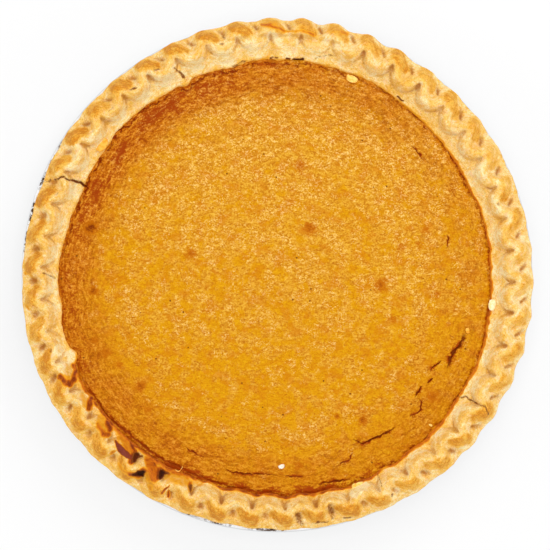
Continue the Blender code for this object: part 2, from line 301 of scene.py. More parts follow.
@dataclass(frozen=True)
class RimForm:
    """Plan and heights of the crimped pastry rim, as the solid model has them."""

    crimps: int = 46
    first_crimp: float = 357.8
    drift: float = 0.9
    drift_peak: float = 255.0
    jitter: float = 0.25
    inner_edge_z: float = 30.3 * MM
    apron_rise: float = 3.9 * MM
    apron_width: float = 8.0 * MM
    lip_drop: float = 2.2 * MM
    lip_width: float = 3.6 * MM
    lip_fade: float = 1.4 * MM
    rope_rise: float = 4.8 * MM
    rope_half_width: float = 4.0 * MM
    rope_fullness: float = 0.62
    rope_fade: float = 2.6 * MM
    rope_swing: float = 3.4 * MM
    rope_skew: float = 0.25
    rope_unevenness: float = 0.1
    rope_middle: float = 113.4 * MM
    rope_ripples: tuple = ((1, 1.4 * MM, 20.0), (3, 0.9 * MM, 0.0))
    outline_middle: float = 122.1 * MM
    outline_ripples: tuple = ((3, 0.8 * MM, 4.0), (5, 0.2 * MM, 12.0))
    scallop: float = 0.3 * MM
    bold_scallops: tuple = ((13.0, 22.0, 0.75 * MM), (115.0, 22.0, 0.5 * MM))
    drawn_in: tuple = ((192.0, 26.0, 0.6 * MM), (281.0, 24.0, 0.6 * MM), (290.0, 9.0, 0.5 * MM),
                       (56.0, 15.0, -0.8 * MM))
    outline_wander: float = 0.22 * MM
    inner_edge: tuple = tuple((bearing, radius * MM) for bearing, radius in (
        (0, 104.7), (12, 103.9), (27, 103.8), (38, 102.3), (50, 102.0), (63, 101.5),
        (75, 102.6), (90, 102.7), (100, 103.3), (112, 104.7), (122, 104.2), (135, 105.4),
        (150, 105.7), (163, 106.0), (180, 104.9), (198, 104.2), (210, 105.1), (225, 105.5),
        (242, 106.4), (246.2, 105.6), (248.9, 102.9), (251.4, 105.3), (255, 105.9),
        (262, 104.7), (268, 105.3), (276, 104.2), (286, 102.8), (296, 102.3), (305, 102.9),
        (318, 103.7), (330, 102.9), (332.6, 103.1), (334.8, 101.5), (337.0, 103.3),
        (341, 103.6), (348, 102.9), (354, 104.5)))
    crimp_nudges: tuple = ((0, 0.7), (15, 0.3), (30, 0.45), (50, 0.4), (70, 0.8), (85, 0.5),
                           (105, 0.2), (120, 0.0), (155, 0.4), (172, 0.3), (200, 0.0),
                           (235, 0.0), (265, -0.2), (275, -0.4), (288, 0.0), (300, 0.6),
                           (310, 0.9), (325, 0.5), (345, 0.8))
    rope_pulls: tuple = ((42.0, 28.0, -0.8 * MM), (82.0, 12.0, -0.5 * MM),
                         (157.0, 12.0, 0.8 * MM))
    rope_stretch: tuple = (35.0, 30.0, 0.8 * MM)
    border_radius: float = 105.0 * MM
    border_scallop: float = 0.7 * MM
    border_scallop_place: tuple = (175.0, 34.0)
    border_wander: float = 0.4 * MM
    seed: int = 46
    rope_samples: int = 24

    def per_crimp(self, seed: int, crimps: np.ndarray, amount: float) -> np.ndarray:
        """One random value for each crimp, read smoothly between them.

        Args:
            seed: picks the values.
            crimps: count of crimps, which need not be whole.
            amount: the largest value either way.

        Returns:
            The value at each count.
        """
        rng = random.Random(seed)
        values = [rng.uniform(-amount, amount) for _ in range(self.crimps)]
        return np.interp(np.mod(crimps, self.crimps), range(self.crimps + 1),
                         values + values[:1])

    def bearing_after(self, crimps: np.ndarray) -> np.ndarray:
        """Bearing reached after a count of crimps."""
        even = self.first_crimp + FULL_TURN * crimps / self.crimps
        drift = self.drift * np.cos(np.radians(even - self.drift_peak))
        nudge = closed_curve(even, self.crimp_nudges)
        return even + drift + nudge + self.per_crimp(self.seed, crimps, self.jitter)

    def rope_radius(self, crimps: np.ndarray) -> np.ndarray:
        """Radius of the rope's centre line: out at whole crimps, in at half ones."""
        turn = 2.0 * np.pi * crimps
        uneven = self.per_crimp(self.seed + 1, crimps, self.rope_unevenness)
        bearings = self.bearing_after(crimps)
        place, spread, more = self.rope_stretch
        stretched = self.rope_swing + more * around(bearings, place, spread)
        swing = stretched * (1.0 + uneven) * np.cos(turn + self.rope_skew * np.sin(turn))
        middle = ripple(bearings, self.rope_middle, self.rope_ripples)
        for place, spread, pull in self.rope_pulls:
            middle = middle + pull * around(bearings, place, spread)
        return middle + swing

    def outline_radius(self, crimps: np.ndarray) -> np.ndarray:
        """Outer edge of the pastry, scalloped most where the crimps fold outwards."""
        bearings = self.bearing_after(crimps)
        depth = np.full(np.shape(crimps), self.scallop)
        for centre, spread, extra in self.bold_scallops:
            depth = depth + extra * around(bearings, centre, spread)
        smooth = ripple(bearings, self.outline_middle, self.outline_ripples)
        for centre, spread, step in self.drawn_in:
            smooth = smooth - step * around(bearings, centre, spread)
        ragged = Mottle(2.4 * MM, 19).at(plan_points(bearings, self.outline_middle))
        return smooth + depth * np.cos(2.0 * np.pi * crimps) + self.outline_wander * ragged

    def inner_radius(self, bearings: np.ndarray) -> np.ndarray:
        """Radius at which the pastry meets the filling, a little ragged in the real pie."""
        counts = np.linspace(-2.0, self.crimps + 2.0, self.rope_samples * (self.crimps + 4) + 1)
        turned = np.mod(bearings - self.first_crimp, FULL_TURN) + self.first_crimp
        crimps = np.interp(turned, self.bearing_after(counts), counts)
        peak, spread = self.border_scallop_place
        overlap = self.border_scallop * around(bearings, peak, spread)
        line = plan_points(bearings, self.border_radius)
        ragged = self.border_wander * bumps(line, (1.0, 7.0, 17), (0.5, 2.2, 18))
        edge = closed_curve(bearings, self.inner_edge)
        return edge + ragged + overlap * np.cos(2.0 * np.pi * crimps)

    def rope_distance(self, crimps: np.ndarray, radii: np.ndarray) -> np.ndarray:
        """Distance in plan to the rope's centre line, positive outside it.

        Args:
            crimps: count of crimps at each column.
            radii: radii by row and column.

        Returns:
            Distances by row and column.
        """
        offsets = np.linspace(-1.0, 1.0, 2 * self.rope_samples + 1)
        along = crimps[:, None] + offsets
        line = plan_points(self.bearing_after(along), self.rope_radius(along))
        middle = self.rope_radius(crimps)
        rows = []
        for row in radii:
            points = plan_points(self.bearing_after(crimps), row)
            away = np.min(np.linalg.norm(line - points[:, None, :], axis=-1), axis=1)
            rows.append(away * np.sign(row - middle))
        return np.array(rows)

    def apron_height(self, bearings: np.ndarray, radii: np.ndarray) -> np.ndarray:
        """Height of the smooth pastry that rises from the filling and on under the rope."""
        inner = self.inner_radius(bearings)
        return self.inner_edge_z + self.apron_rise * smoothstep((radii - inner) / self.apron_width)


@dataclass(frozen=True)
class CustardForm:
    """Heights of the custard's top, as the solid model has them."""

    centre_z: float = 28.9 * MM
    band_rise: float = 1.5 * MM
    band_start: float = 80.0 * MM
    band_crest: float = 98.5 * MM
    edge_drop: float = 0.5 * MM
    wave: float = 0.25 * MM
    wave_length: float = 14.0 * MM
    floor_z: float = 3.9 * MM
    floor_radius: float = 87.98 * MM

    def height(self, bearings: np.ndarray, radii: np.ndarray, edge: np.ndarray) -> np.ndarray:
        """Height of the top: a shallow dish with a puffed band near its edge.

        Args:
            bearings: where, in degrees.
            radii: where, in metres.
            edge: radius of the filling's edge at those bearings.

        Returns:
            The height at each place.
        """
        climb = smoothstep((radii - self.band_start) / (self.band_crest - self.band_start))
        fall = smoothstep((radii - self.band_crest) / (edge - self.band_crest))
        wave = self.wave * np.sin(np.radians(bearings * 2.0)) * np.sin(radii / self.wave_length)
        return self.centre_z + self.band_rise * climb - self.edge_drop * fall + wave


TIN = TinForm()
RIM = RimForm()
CUSTARD = CustardForm()


# ---------------------------------------------------------------- modelling


def put_down() -> None:
    """Leave edit mode and let go of everything."""
    if bpy.context.mode != "OBJECT":
        bpy.ops.object.mode_set(mode="OBJECT")
    bpy.ops.object.select_all(action="DESELECT")


def take_up(piece: bpy.types.Object) -> None:
    """Hold one piece alone, selected and active."""
    put_down()
    piece.select_set(True)
    bpy.context.view_layer.objects.active = piece


def rounded(piece: bpy.types.Object) -> bpy.types.Object:
    """Shade a piece smoothly, and give it back."""
    take_up(piece)
    bpy.ops.object.shade_smooth()
    return piece


def turn_outwards() -> None:
    """Select the whole of the mesh in edit mode, and turn its faces outwards."""
    bpy.ops.mesh.select_all(action="SELECT")
    bpy.ops.mesh.normals_make_consistent(inside=False)


def named(name: str) -> bpy.types.Object:
    """Name the piece just added, and settle its place into its mesh."""
    piece = bpy.context.object
    piece.name = name
    piece.data.name = name
    bpy.ops.object.transform_apply(location=True, rotation=True, scale=True)
    return piece


def read_points(piece: bpy.types.Object) -> np.ndarray:
    """The places of a mesh's points, as rows of X, Y and Z."""
    places = np.empty(len(piece.data.vertices) * 3)
    piece.data.vertices.foreach_get("co", places)
    return places.reshape(-1, 3)


def move_points(piece: bpy.types.Object, places: np.ndarray) -> None:
    """Put a mesh's points at new places."""
    piece.data.vertices.foreach_set("co", places.ravel())
    piece.data.update()


def paint(piece: bpy.types.Object, name: str, amounts: np.ndarray) -> None:
    """Give every point of a mesh an amount that a finish can read."""
    layer = piece.data.attributes.new(name, "FLOAT", "POINT")
    layer.data.foreach_set("value", np.asarray(amounts, dtype=np.float32))


def spin_section(name: str, section: Section, columns: int, sectors: int) -> bpy.types.Object:
    """Extrude a section point by point from a small plane, and spin it round the axis.

    Args:
        name: the piece's name.
        section: pairs of radius and height.
        columns: steps of the full turn.
        sectors: how many times the first spun stretch is repeated to close the turn.

    Returns:
        The closed piece.
    """
    put_down()
    first_radius, first_height = section[0]
    bpy.ops.mesh.primitive_plane_add(size=MM, location=(first_radius, 0.0, first_height))
    piece = named(name)
    bpy.ops.object.mode_set(mode="EDIT")
    bpy.ops.mesh.select_all(action="SELECT")
    bpy.ops.mesh.merge(type="CENTER")
    for (radius, height), (next_radius, next_height) in zip(section, section[1:]):
        step = (next_radius - radius, 0.0, next_height - height)
        bpy.ops.mesh.extrude_vertices_move(TRANSFORM_OT_translate={"value": step})
    axis = {"center": (0.0, 0.0, 0.0), "axis": (0.0, 0.0, 1.0)}
    sector = 2.0 * math.pi / sectors
    bpy.ops.mesh.select_all(action="SELECT")
    bpy.ops.mesh.spin(steps=columns // sectors, angle=sector, **axis)
    bpy.ops.mesh.select_all(action="SELECT")
    bpy.ops.mesh.spin(steps=sectors - 1, angle=sector * (sectors - 1), dupli=True, **axis)
    bpy.ops.mesh.select_all(action="SELECT")
    bpy.ops.mesh.remove_doubles(threshold=MERGE_DISTANCE)
    turn_outwards()
    put_down()
    return piece


class SpunPiece:
    """A spun mesh whose points are known by their row in the section and their column."""

    def __init__(self, name: str, section: Section, columns: int, sectors: int) -> None:
        """Spin the section and find where each row and column went.

        Args:
            name: the piece's name.
            section: pairs of radius and height.
            columns: steps of the full turn.
            sectors: equal stretches that the turn is made of.
        """
        self.piece = spin_section(name, section, columns, sectors)
        self.points = read_points(self.piece)
        stations = np.array(section)
        radii = np.hypot(self.points[:, 0], self.points[:, 1])
        misses = np.hypot(radii[:, None] - stations[:, 0],
                          self.points[:, 2, None] - stations[:, 1])
        rows = np.argmin(misses, axis=1)
        bearings = np.degrees(np.arctan2(self.points[:, 0], self.points[:, 1]))
        steps = np.rint(bearings * columns / FULL_TURN).astype(int) % columns
        self.numbers = np.zeros((len(section), columns), dtype=int)
        self.numbers[rows, steps] = np.arange(len(self.points))
        for row in np.flatnonzero(stations[:, 0] < MERGE_DISTANCE):
            self.numbers[row] = np.flatnonzero(rows == row)[0]

    def place(self, bearings: np.ndarray, radii: np.ndarray, heights: np.ndarray) -> None:
        """Move every point to a bearing, radius and height given by row and column."""
        plan = plan_points(np.broadcast_to(bearings, radii.shape), radii)
        self.points[self.numbers, :2] = plan
        self.points[self.numbers, 2] = heights
        move_points(self.piece, self.points)

    def paint(self, name: str, amounts: np.ndarray) -> None:
        """Paint amounts given by row and column."""
        flat = np.zeros(len(self.points))
        flat[self.numbers] = amounts
        paint(self.piece, name, flat)


def soften(grid: np.ndarray, passes: int) -> np.ndarray:
    """Average a grid of rings with its neighbours, over and over.

    Args:
        grid: values by row and column, where the columns close on themselves.
        passes: how many times.

    Returns:
        The softened grid.
    """
    for _ in range(passes):
        padded = np.pad(grid, ((1, 1), (0, 0)), mode="edge")
        across = (padded[:-2] + padded[2:]) / 2.0
        round_about = (np.roll(grid, 1, axis=1) + np.roll(grid, -1, axis=1)) / 2.0
        grid = grid * 0.5 + across * 0.25 + round_about * 0.25
    return grid


# ---------------------------------------------------------------- finishes


class Cells(Enum):
    """Kinds of cell pattern."""

    CENTRES = "F1"
    EDGES = "DISTANCE_TO_EDGE"


class Sum(Enum):
    """Sums that a recipe can work out."""

    ADD = "ADD"
    SUBTRACT = "SUBTRACT"
    MULTIPLY = "MULTIPLY"
    MAXIMUM = "MAXIMUM"
    ABOVE = "GREATER_THAN"
    ABSOLUTE = "ABSOLUTE"


class Mixing(Enum):
    """Ways to lay one colour over another."""

    OVER = "MIX"
    DARKEN = "MULTIPLY"


class Recipe:
    """One material in the making; each method adds a node and gives its outlet."""

    def __init__(self, name: str) -> None:
        """Start a material with its place on the object ready to read.

        Args:
            name: the material's name.
        """
        self.material = bpy.data.materials.new(name)
        self.material.use_nodes = True
        self.tree = self.material.node_tree
        self.principled = self.tree.nodes["Principled BSDF"]
        self.place = self.tree.nodes.new("ShaderNodeTexCoord").outputs["Object"]

    def feed(self, socket: bpy.types.NodeSocket, source: object) -> None:
        """Link an outlet to a socket, or set the socket to a plain value."""
        if isinstance(source, bpy.types.NodeSocket):
            self.tree.links.new(source, socket)
        else:
            socket.default_value = source

    def painted(self, name: str) -> bpy.types.NodeSocket:
        """Read an amount painted on the mesh."""
        node = self.tree.nodes.new("ShaderNodeAttribute")
        node.attribute_name = name
        return node.outputs["Fac"]

    def stretched(self, factors: tuple[float, float, float],
                  turn: float = 0.0) -> bpy.types.NodeSocket:
        """Squeeze and turn the pattern's place about the vertical."""
        node = self.tree.nodes.new("ShaderNodeMapping")
        node.inputs["Scale"].default_value = factors
        node.inputs["Rotation"].default_value = (0.0, 0.0, math.radians(turn))
        self.feed(node.inputs["Vector"], self.place)
        return node.outputs["Vector"]

    def along(self, beside: str, squeeze: float) -> bpy.types.NodeSocket:
        """Read the plan squeezed, and a painted distance in place of the height.

        Args:
            beside: name of the painted distance from the line that the pattern follows.
            squeeze: share of the plan that is kept; the pattern is drawn out by its inverse.

        Returns:
            The place's outlet.
        """
        apart = self.tree.nodes.new("ShaderNodeSeparateXYZ")
        self.feed(apart.inputs[0], self.stretched((squeeze, squeeze, 1.0)))
        joined = self.tree.nodes.new("ShaderNodeCombineXYZ")
        self.feed(joined.inputs[0], apart.outputs[0])
        self.feed(joined.inputs[1], apart.outputs[1])
        self.feed(joined.inputs[2], self.painted(beside))
        return joined.outputs[0]

    def noise(self, size: float, detail: float = 2.0, roughness: float = 0.5,
              distortion: float = 0.0,
              place: bpy.types.NodeSocket | None = None) -> bpy.types.NodeSocket:
        """Add a noise pattern.

        Args:
            size: distance from one bump to the next.
            detail: how many finer layers lie on it.
            roughness: how strong the finer layers are.
            distortion: how far it curls.
            place: where to read it, if not plainly on the object.

        Returns:
            The pattern's outlet.
        """
        node = self.tree.nodes.new("ShaderNodeTexNoise")
        node.inputs["Scale"].default_value = 1.0 / size
        node.inputs["Detail"].default_value = detail
        node.inputs["Roughness"].default_value = roughness
        node.inputs["Distortion"].default_value = distortion
        self.feed(node.inputs["Vector"], self.place if place is None else place)
        return node.outputs[0]

    def cells(self, size: float, kind: Cells = Cells.CENTRES,
              outlet: str = "Distance") -> bpy.types.NodeSocket:
        """Add a pattern of cells.

        Args:
            size: distance from one cell to the next.
            kind: what is measured.
            outlet: name of the outlet to give.

        Returns:
            The outlet, which for a distance is in cells.
        """
        node = self.tree.nodes.new("ShaderNodeTexVoronoi")
        node.feature = kind.value
        node.inputs["Scale"].default_value = 1.0 / size
        self.feed(node.inputs["Vector"], self.place)
        return node.outputs[outlet]

    def sums(self, operation: Sum, first: object, *others: object) -> bpy.types.NodeSocket:
        """Work out a sum of one amount, or of each amount in turn with what came before."""
        for other in others or (0.0,):
            node = self.tree.nodes.new("ShaderNodeMath")
            node.operation = operation.value
            self.feed(node.inputs[0], first)
            self.feed(node.inputs[1], other)
            first = node.outputs[0]
        return first

    def plus(self, *amounts: object) -> bpy.types.NodeSocket:
        """Add amounts together."""
        return self.sums(Sum.ADD, *amounts)

    def times(self, *amounts: object) -> bpy.types.NodeSocket:
        """Multiply amounts together."""
        return self.sums(Sum.MULTIPLY, *amounts)

    def apart(self, amount: object, level: float) -> bpy.types.NodeSocket:
        """How far an amount is from a level, either way."""
        return self.sums(Sum.ABSOLUTE, self.sums(Sum.SUBTRACT, amount, level))

    def fade(self, amount: object, low: float, high: float, start: float = 0.0,
             end: float = 1.0) -> bpy.types.NodeSocket:
        """Ease from start to end as an amount goes from low to high."""
        node = self.tree.nodes.new("ShaderNodeMapRange")
        node.interpolation_type = "SMOOTHSTEP"
        self.feed(node.inputs["Value"], amount)
        node.inputs["From Min"].default_value = low
        node.inputs["From Max"].default_value = high
        node.inputs["To Min"].default_value = start
        node.inputs["To Max"].default_value = end
        return node.outputs["Result"]

    def swing(self, pattern: object, amount: float, low: float = 0.3,
              high: float = 0.7) -> bpy.types.NodeSocket:
        """Ease from minus to plus an amount as a pattern goes from low to high."""
        return self.fade(pattern, low, high, -amount, amount)

    def ramp(self, amount: object, *stops: tuple[float, Colour]) -> bpy.types.NodeSocket:
        """Turn an amount into a colour by stops along a scale."""
        node = self.tree.nodes.new("ShaderNodeValToRGB")
        elements = node.color_ramp.elements
        while len(elements) < len(stops):
            elements.new(0.5)
        for element, (position, colour) in zip(elements, stops):
            element.position = position
            element.color = colour
        self.feed(node.inputs["Fac"], amount)
        return node.outputs["Color"]

    def lay(self, amount: object, below: object, above: object,
            mixing: Mixing = Mixing.OVER) -> bpy.types.NodeSocket:
        """Lay one colour over another by an amount."""
        node = self.tree.nodes.new("ShaderNodeMix")
        node.data_type = "RGBA"
        node.blend_type = mixing.value
        self.feed(node.inputs[0], amount)
        self.feed(node.inputs[6], below)
        self.feed(node.inputs[7], above)
        return node.outputs[2]

    def coats(self, colour: object, *coats: tuple[object, object]) -> bpy.types.NodeSocket:
        """Lay coats over a colour, one by one, each given by its amount and its colour."""
        for amount, above in coats:
            colour = self.lay(amount, colour, above)
        return colour

    def relief(self, *layers: tuple[object, object]) -> bpy.types.NodeSocket:
        """Add layers of fine relief, each given by its pattern and its depth."""
        below = None
        for height, depth in layers:
            node = self.tree.nodes.new("ShaderNodeBump")
            self.feed(node.inputs["Distance"], depth)
            self.feed(node.inputs["Height"], height)
            if below is not None:
                self.feed(node.inputs["Normal"], below)
            below = node.outputs["Normal"]
        return below

    def finished(self, colour: object, roughness: object, normal: bpy.types.NodeSocket,
                 **constants: object) -> bpy.types.Material:
        """Wire the shader and give the material.

        Args:
            colour: base colour.
            roughness: roughness.
            normal: the relief.
            **constants: other sockets, by their names with _ for a space.

        Returns:
            The material.
        """
        self.feed(self.principled.inputs["Base Color"], colour)
        self.feed(self.principled.inputs["Roughness"], roughness)
        self.feed(self.principled.inputs["Normal"], normal)
        for name, value in constants.items():
            self.principled.inputs[name.replace("_", " ")].default_value = value
        return self.material


@dataclass(frozen=True)
class BakedPastry:
    """Shortcrust: cream where it is thin, golden to brown where it stands up."""

    cream: Colour = shade(255, 234, 176)
    straw: Colour = shade(254, 208, 122)
    golden: Colour = shade(245, 186, 77)
    brown: Colour = shade(236, 163, 46)
    dark_brown: Colour = shade(216, 136, 28)
    rosy: Colour = shade(252, 202, 152)
    yellow: Colour = shade(245, 196, 84)
    crease_shade_and_brown: Colour = shade(180, 112, 40)
    glaze: Colour = shade(240, 166, 28)
    syrup: Colour = shade(208, 108, 10)
    scorched: Colour = shade(140, 56, 10)
    burnt: Colour = shade(134, 58, 42)
    umber: Colour = shade(150, 92, 34)
    fine_shade: Colour = (0.4, 0.34, 0.24, 1.0)
    ember: Colour = shade(112, 44, 8)
    char_and_slot_shade: Colour = shade(50, 22, 14)
    roughness: float = 0.62
    wet_roughness: float = 0.3

    def material(self) -> bpy.types.Material:
        """Mix the pastry's material.

        Returns:
            The material.
        """
        recipe = Recipe("baked_pastry")
        blotch = recipe.noise(3.6 * MM, detail=4.0, roughness=0.6)
        crumb = recipe.noise(1.1 * MM, detail=3.0, roughness=0.65)
        drawn = recipe.noise(1.0 * MM, detail=2.0, roughness=0.6,
                             place=recipe.along("beside", 0.35))
        fine = recipe.noise(0.5 * MM, detail=3.0, roughness=0.7)
        # Baked browning, with some painted shade and painted light in it.
        toasted_and_shaded = recipe.plus(
            recipe.painted("toast_and_shade"),
            recipe.plus(recipe.swing(blotch, 0.13), recipe.swing(crumb, 0.12),
                        recipe.swing(drawn, 0.13), recipe.swing(fine, 0.17)))
        colour = recipe.ramp(toasted_and_shaded, (0.05, self.cream), (0.3, self.straw), (0.55, self.golden),
                             (0.8, self.brown), (1.0, self.dark_brown))
        hues = recipe.noise(2.4 * MM, detail=2.0, place=recipe.stretched((1.0, 1.0, 3.0), 40.0))
        rosy = recipe.times(recipe.fade(hues, 0.54, 0.68, 0.0, 0.55),
                            recipe.fade(toasted_and_shaded, 0.4, 0.7, 1.0, 0.15))
        colour = recipe.coats(colour, (rosy, self.rosy),
                              (recipe.fade(hues, 0.34, 0.48, 0.55, 0.0), self.yellow))
        # Painted fine shade: a speckle that darkens the colour in tiny spots.
        fine_shade_noise = recipe.noise(0.45 * MM, detail=2.0, roughness=0.6,
                             place=recipe.stretched((1.0, 1.0, 1.0), 75.0))
        colour = recipe.lay(recipe.fade(fine_shade_noise, 0.38, 0.56, 0.28, 0.0), colour, self.fine_shade,
                            Mixing.DARKEN)
        # Painted shade, with some browning, in the folds' hollows.
        crease_shade_and_brown = recipe.plus(recipe.painted("crease_shade_and_brown"), recipe.swing(crumb, 0.12))
        syrup = recipe.painted("syrup")
        streaked = recipe.times(syrup, recipe.fade(drawn, 0.3, 0.7, 0.86, 1.14),
                                recipe.fade(blotch, 0.3, 0.7, 0.92, 1.08))
        glazed = recipe.ramp(streaked, (0.25, self.glaze), (0.5, self.syrup),
                             (0.7, self.scorched), (0.92, self.burnt))
        char_and_slot_shade = recipe.plus(recipe.painted("char_and_slot_shade"), recipe.swing(crumb, 0.1))
        blackened = recipe.ramp(char_and_slot_shade, (0.3, self.umber), (0.6, self.ember), (0.95, self.char_and_slot_shade))
        colour = recipe.coats(colour, (recipe.fade(crease_shade_and_brown, 0.08, 1.0, 0.0, 0.95), self.crease_shade_and_brown),
                              (recipe.fade(streaked, 0.05, 0.3), glazed),
                              (recipe.fade(char_and_slot_shade, 0.05, 0.42), blackened))
        normal = recipe.relief((blotch, 0.4 * MM), (drawn, 0.36 * MM), (crumb, 0.4 * MM),
                               (fine, 0.52 * MM))
        roughness = recipe.fade(syrup, 0.2, 0.8, self.roughness, self.wet_roughness)
        return recipe.finished(colour, roughness, normal, Specular_IOR_Level=0.15)


@dataclass(frozen=True)
class BakedCustard:
    """Sweet potato custard: golden and grainy, deeper and browner towards its edge."""

    smooth_low: Colour = shade(185, 113, 0)
    smooth: Colour = shade(199, 134, 2)
    smooth_high: Colour = shade(212, 156, 12)
    grain_low: Colour = shade(179, 111, 14)
    grain: Colour = shade(201, 139, 29)
    grain_high: Colour = shade(217, 165, 54)
    painted_glint: Colour = shade(250, 223, 160)
    warm: Colour = shade(190, 112, 4)
    edge_low: Colour = shade(138, 58, 0)
    edge: Colour = shade(182, 98, 6)
    edge_high: Colour = shade(214, 141, 42)
    border_line: Colour = shade(126, 34, 0)
    blister: Colour = shade(177, 93, 0)
    burst: Colour = shade(116, 36, 0)
    rust: Colour = shade(148, 52, 2)
    split: Colour = shade(102, 30, 0)
    speck: Colour = shade(112, 58, 8)
    sheen: Colour = (1.0, 0.68, 0.17, 1.0)
    roughness: float = 0.42

    def material(self) -> bpy.types.Material:
        """Mix the custard's material.

        Returns:
            The material.
        """
        recipe = Recipe("baked_custard")
        curls = recipe.noise(1.6 * MM, detail=4.0, roughness=0.72, distortion=0.9,
                             place=recipe.stretched((0.75, 1.25, 1.0), 12.0))
        fine = recipe.noise(0.8 * MM, detail=1.0, roughness=0.6)
        grain = recipe.plus(recipe.times(curls, 0.68), recipe.times(fine, 0.32))
        patches = recipe.noise(5.5 * MM, detail=3.0, roughness=0.6)
        edging = recipe.noise(1.2 * MM, detail=3.0, roughness=0.65,
                              place=recipe.along("border", 0.3))
        uneven = recipe.plus(recipe.times(edging, 0.4), recipe.times(grain, 0.6))
        tan_and_painted_light = recipe.plus(recipe.painted("tan_and_painted_light"), recipe.swing(patches, 0.15))
        rim = recipe.ramp(uneven, (0.4, self.edge_low), (0.5, self.edge), (0.6, self.edge_high))
        rusty = recipe.plus(recipe.painted("rust"), recipe.swing(uneven, -0.3, 0.4, 0.6))
        line = self.border_crack(recipe)
        # The coats include painted glints, a painted highlight, over the custard's own colours.
        colour = recipe.coats(self.middle(recipe, grain, patches), (tan_and_painted_light, rim),
                              (self.painted_glints(recipe, grain, tan_and_painted_light), self.painted_glint),
                              (recipe.fade(rusty, 0.1, 0.92), self.rust),
                              self.blistered(recipe, grain), (self.specks(recipe), self.speck),
                              (recipe.painted("split"), self.split), (line, self.border_line))
        normal = recipe.relief((line, -0.2 * MM),
                               (edging, recipe.fade(tan_and_painted_light, 0.1, 0.8, 0.0, 0.8 * MM)),
                               (patches, 0.5 * MM), (grain, 0.35 * MM))
        return recipe.finished(colour, self.roughness, normal, Specular_IOR_Level=0.2,
                               Specular_Tint=self.sheen)

    def middle(self, recipe: Recipe, grain: bpy.types.NodeSocket,
               patches: bpy.types.NodeSocket) -> bpy.types.NodeSocket:
        """Mix the custard's colour away from its edge: smooth patches among grainy ones, more
        grainy under the painted sheen.

        Args:
            recipe: the material.
            grain: the fine grain.
            patches: the pattern of smooth and grainy patches.

        Returns:
            The colour.
        """
        smooth = recipe.ramp(grain, (0.36, self.smooth_low), (0.5, self.smooth),
                             (0.66, self.smooth_high))
        grainy = recipe.ramp(grain, (0.4, self.grain_low), (0.5, self.grain),
                             (0.6, self.grain_high))
        # The painted sheen, a painted highlight, makes the custard grainier and paler up the
        # picture.
        rough_share = recipe.fade(recipe.plus(patches, recipe.painted("painted_sheen")), 0.42, 0.52)
        hues = recipe.noise(7.0 * MM, detail=3.0, roughness=0.65,
                            place=recipe.stretched((1.0, 1.3, 1.0), 30.0))
        return recipe.coats(smooth, (rough_share, grainy),
                            (recipe.fade(hues, 0.5, 0.64, 0.0, 0.6), self.warm))

    def painted_glints(self, recipe: Recipe, grain: bpy.types.NodeSocket,
               tan_and_painted_light: bpy.types.NodeSocket) -> bpy.types.NodeSocket:
        """Painted highlights: pale threads and dots painted as glints, in clusters.

        Args:
            recipe: the material.
            grain: the fine grain.
            tan_and_painted_light: how brown each place is, which dulls the painted glints.

        Returns:
            The share of painted glint.
        """
        threads = recipe.noise(3.0 * MM, detail=2.0, roughness=0.5, distortion=2.4)
        thread = recipe.times(recipe.fade(recipe.apart(threads, 0.5), 0.0, 0.05, 1.0, 0.0),
                              recipe.fade(grain, 0.46, 0.54))
        marks = recipe.sums(Sum.MAXIMUM, thread, recipe.fade(grain, 0.56, 0.66))
        arcs = recipe.noise(4.5 * MM, detail=1.0, place=recipe.along("border", 0.35))
        clusters = recipe.times(recipe.plus(recipe.noise(4.0 * MM, detail=1.0), arcs), 0.5)
        bright = recipe.plus(clusters, recipe.painted("painted_sheen"))
        return recipe.times(marks, recipe.fade(bright, 0.45, 0.6, 0.0, 0.47),
                            recipe.fade(tan_and_painted_light, 0.2, 0.9, 1.0, 0.25))

    def blistered(self, recipe: Recipe, grain: bpy.types.NodeSocket
                  ) -> tuple[bpy.types.NodeSocket, bpy.types.NodeSocket]:
        """The share of the burst blisters, and their colour."""
        blister = recipe.times(recipe.painted("blister"), recipe.fade(grain, 0.4, 0.6, 1.35, 0.65))
        return (recipe.fade(blister, 0.0, 0.42, 0.0, 0.97),
                recipe.ramp(blister, (0.4, self.blister), (0.95, self.burst)))

    def specks(self, recipe: Recipe) -> bpy.types.NodeSocket:
        """Where dark specks of spice lie, in some of the cells of a pattern."""
        apart = 5.5 * MM
        in_centre = recipe.fade(recipe.cells(apart), 0.06, 0.1, 1.0, 0.0)
        return recipe.times(in_centre, recipe.sums(Sum.ABOVE,
                                                   recipe.cells(apart, outlet="Color"), 0.62))

    def border_crack(self, recipe: Recipe) -> bpy.types.NodeSocket:
        """The broken, wandering crack near the border, as a share."""
        wander = recipe.noise(4.5 * MM, detail=5.0, roughness=0.72)
        jagged = recipe.plus(recipe.painted("border"), recipe.swing(wander, 1.3 * MM))
        broken = recipe.fade(recipe.noise(3.0 * MM, detail=3.0), 0.4, 0.58, 0.0, 0.9)
        on_line = recipe.fade(recipe.sums(Sum.ABSOLUTE, jagged), 0.1 * MM, 0.9 * MM, 1.0, 0.0)
        return recipe.times(on_line, recipe.times(broken, recipe.painted("lined")))


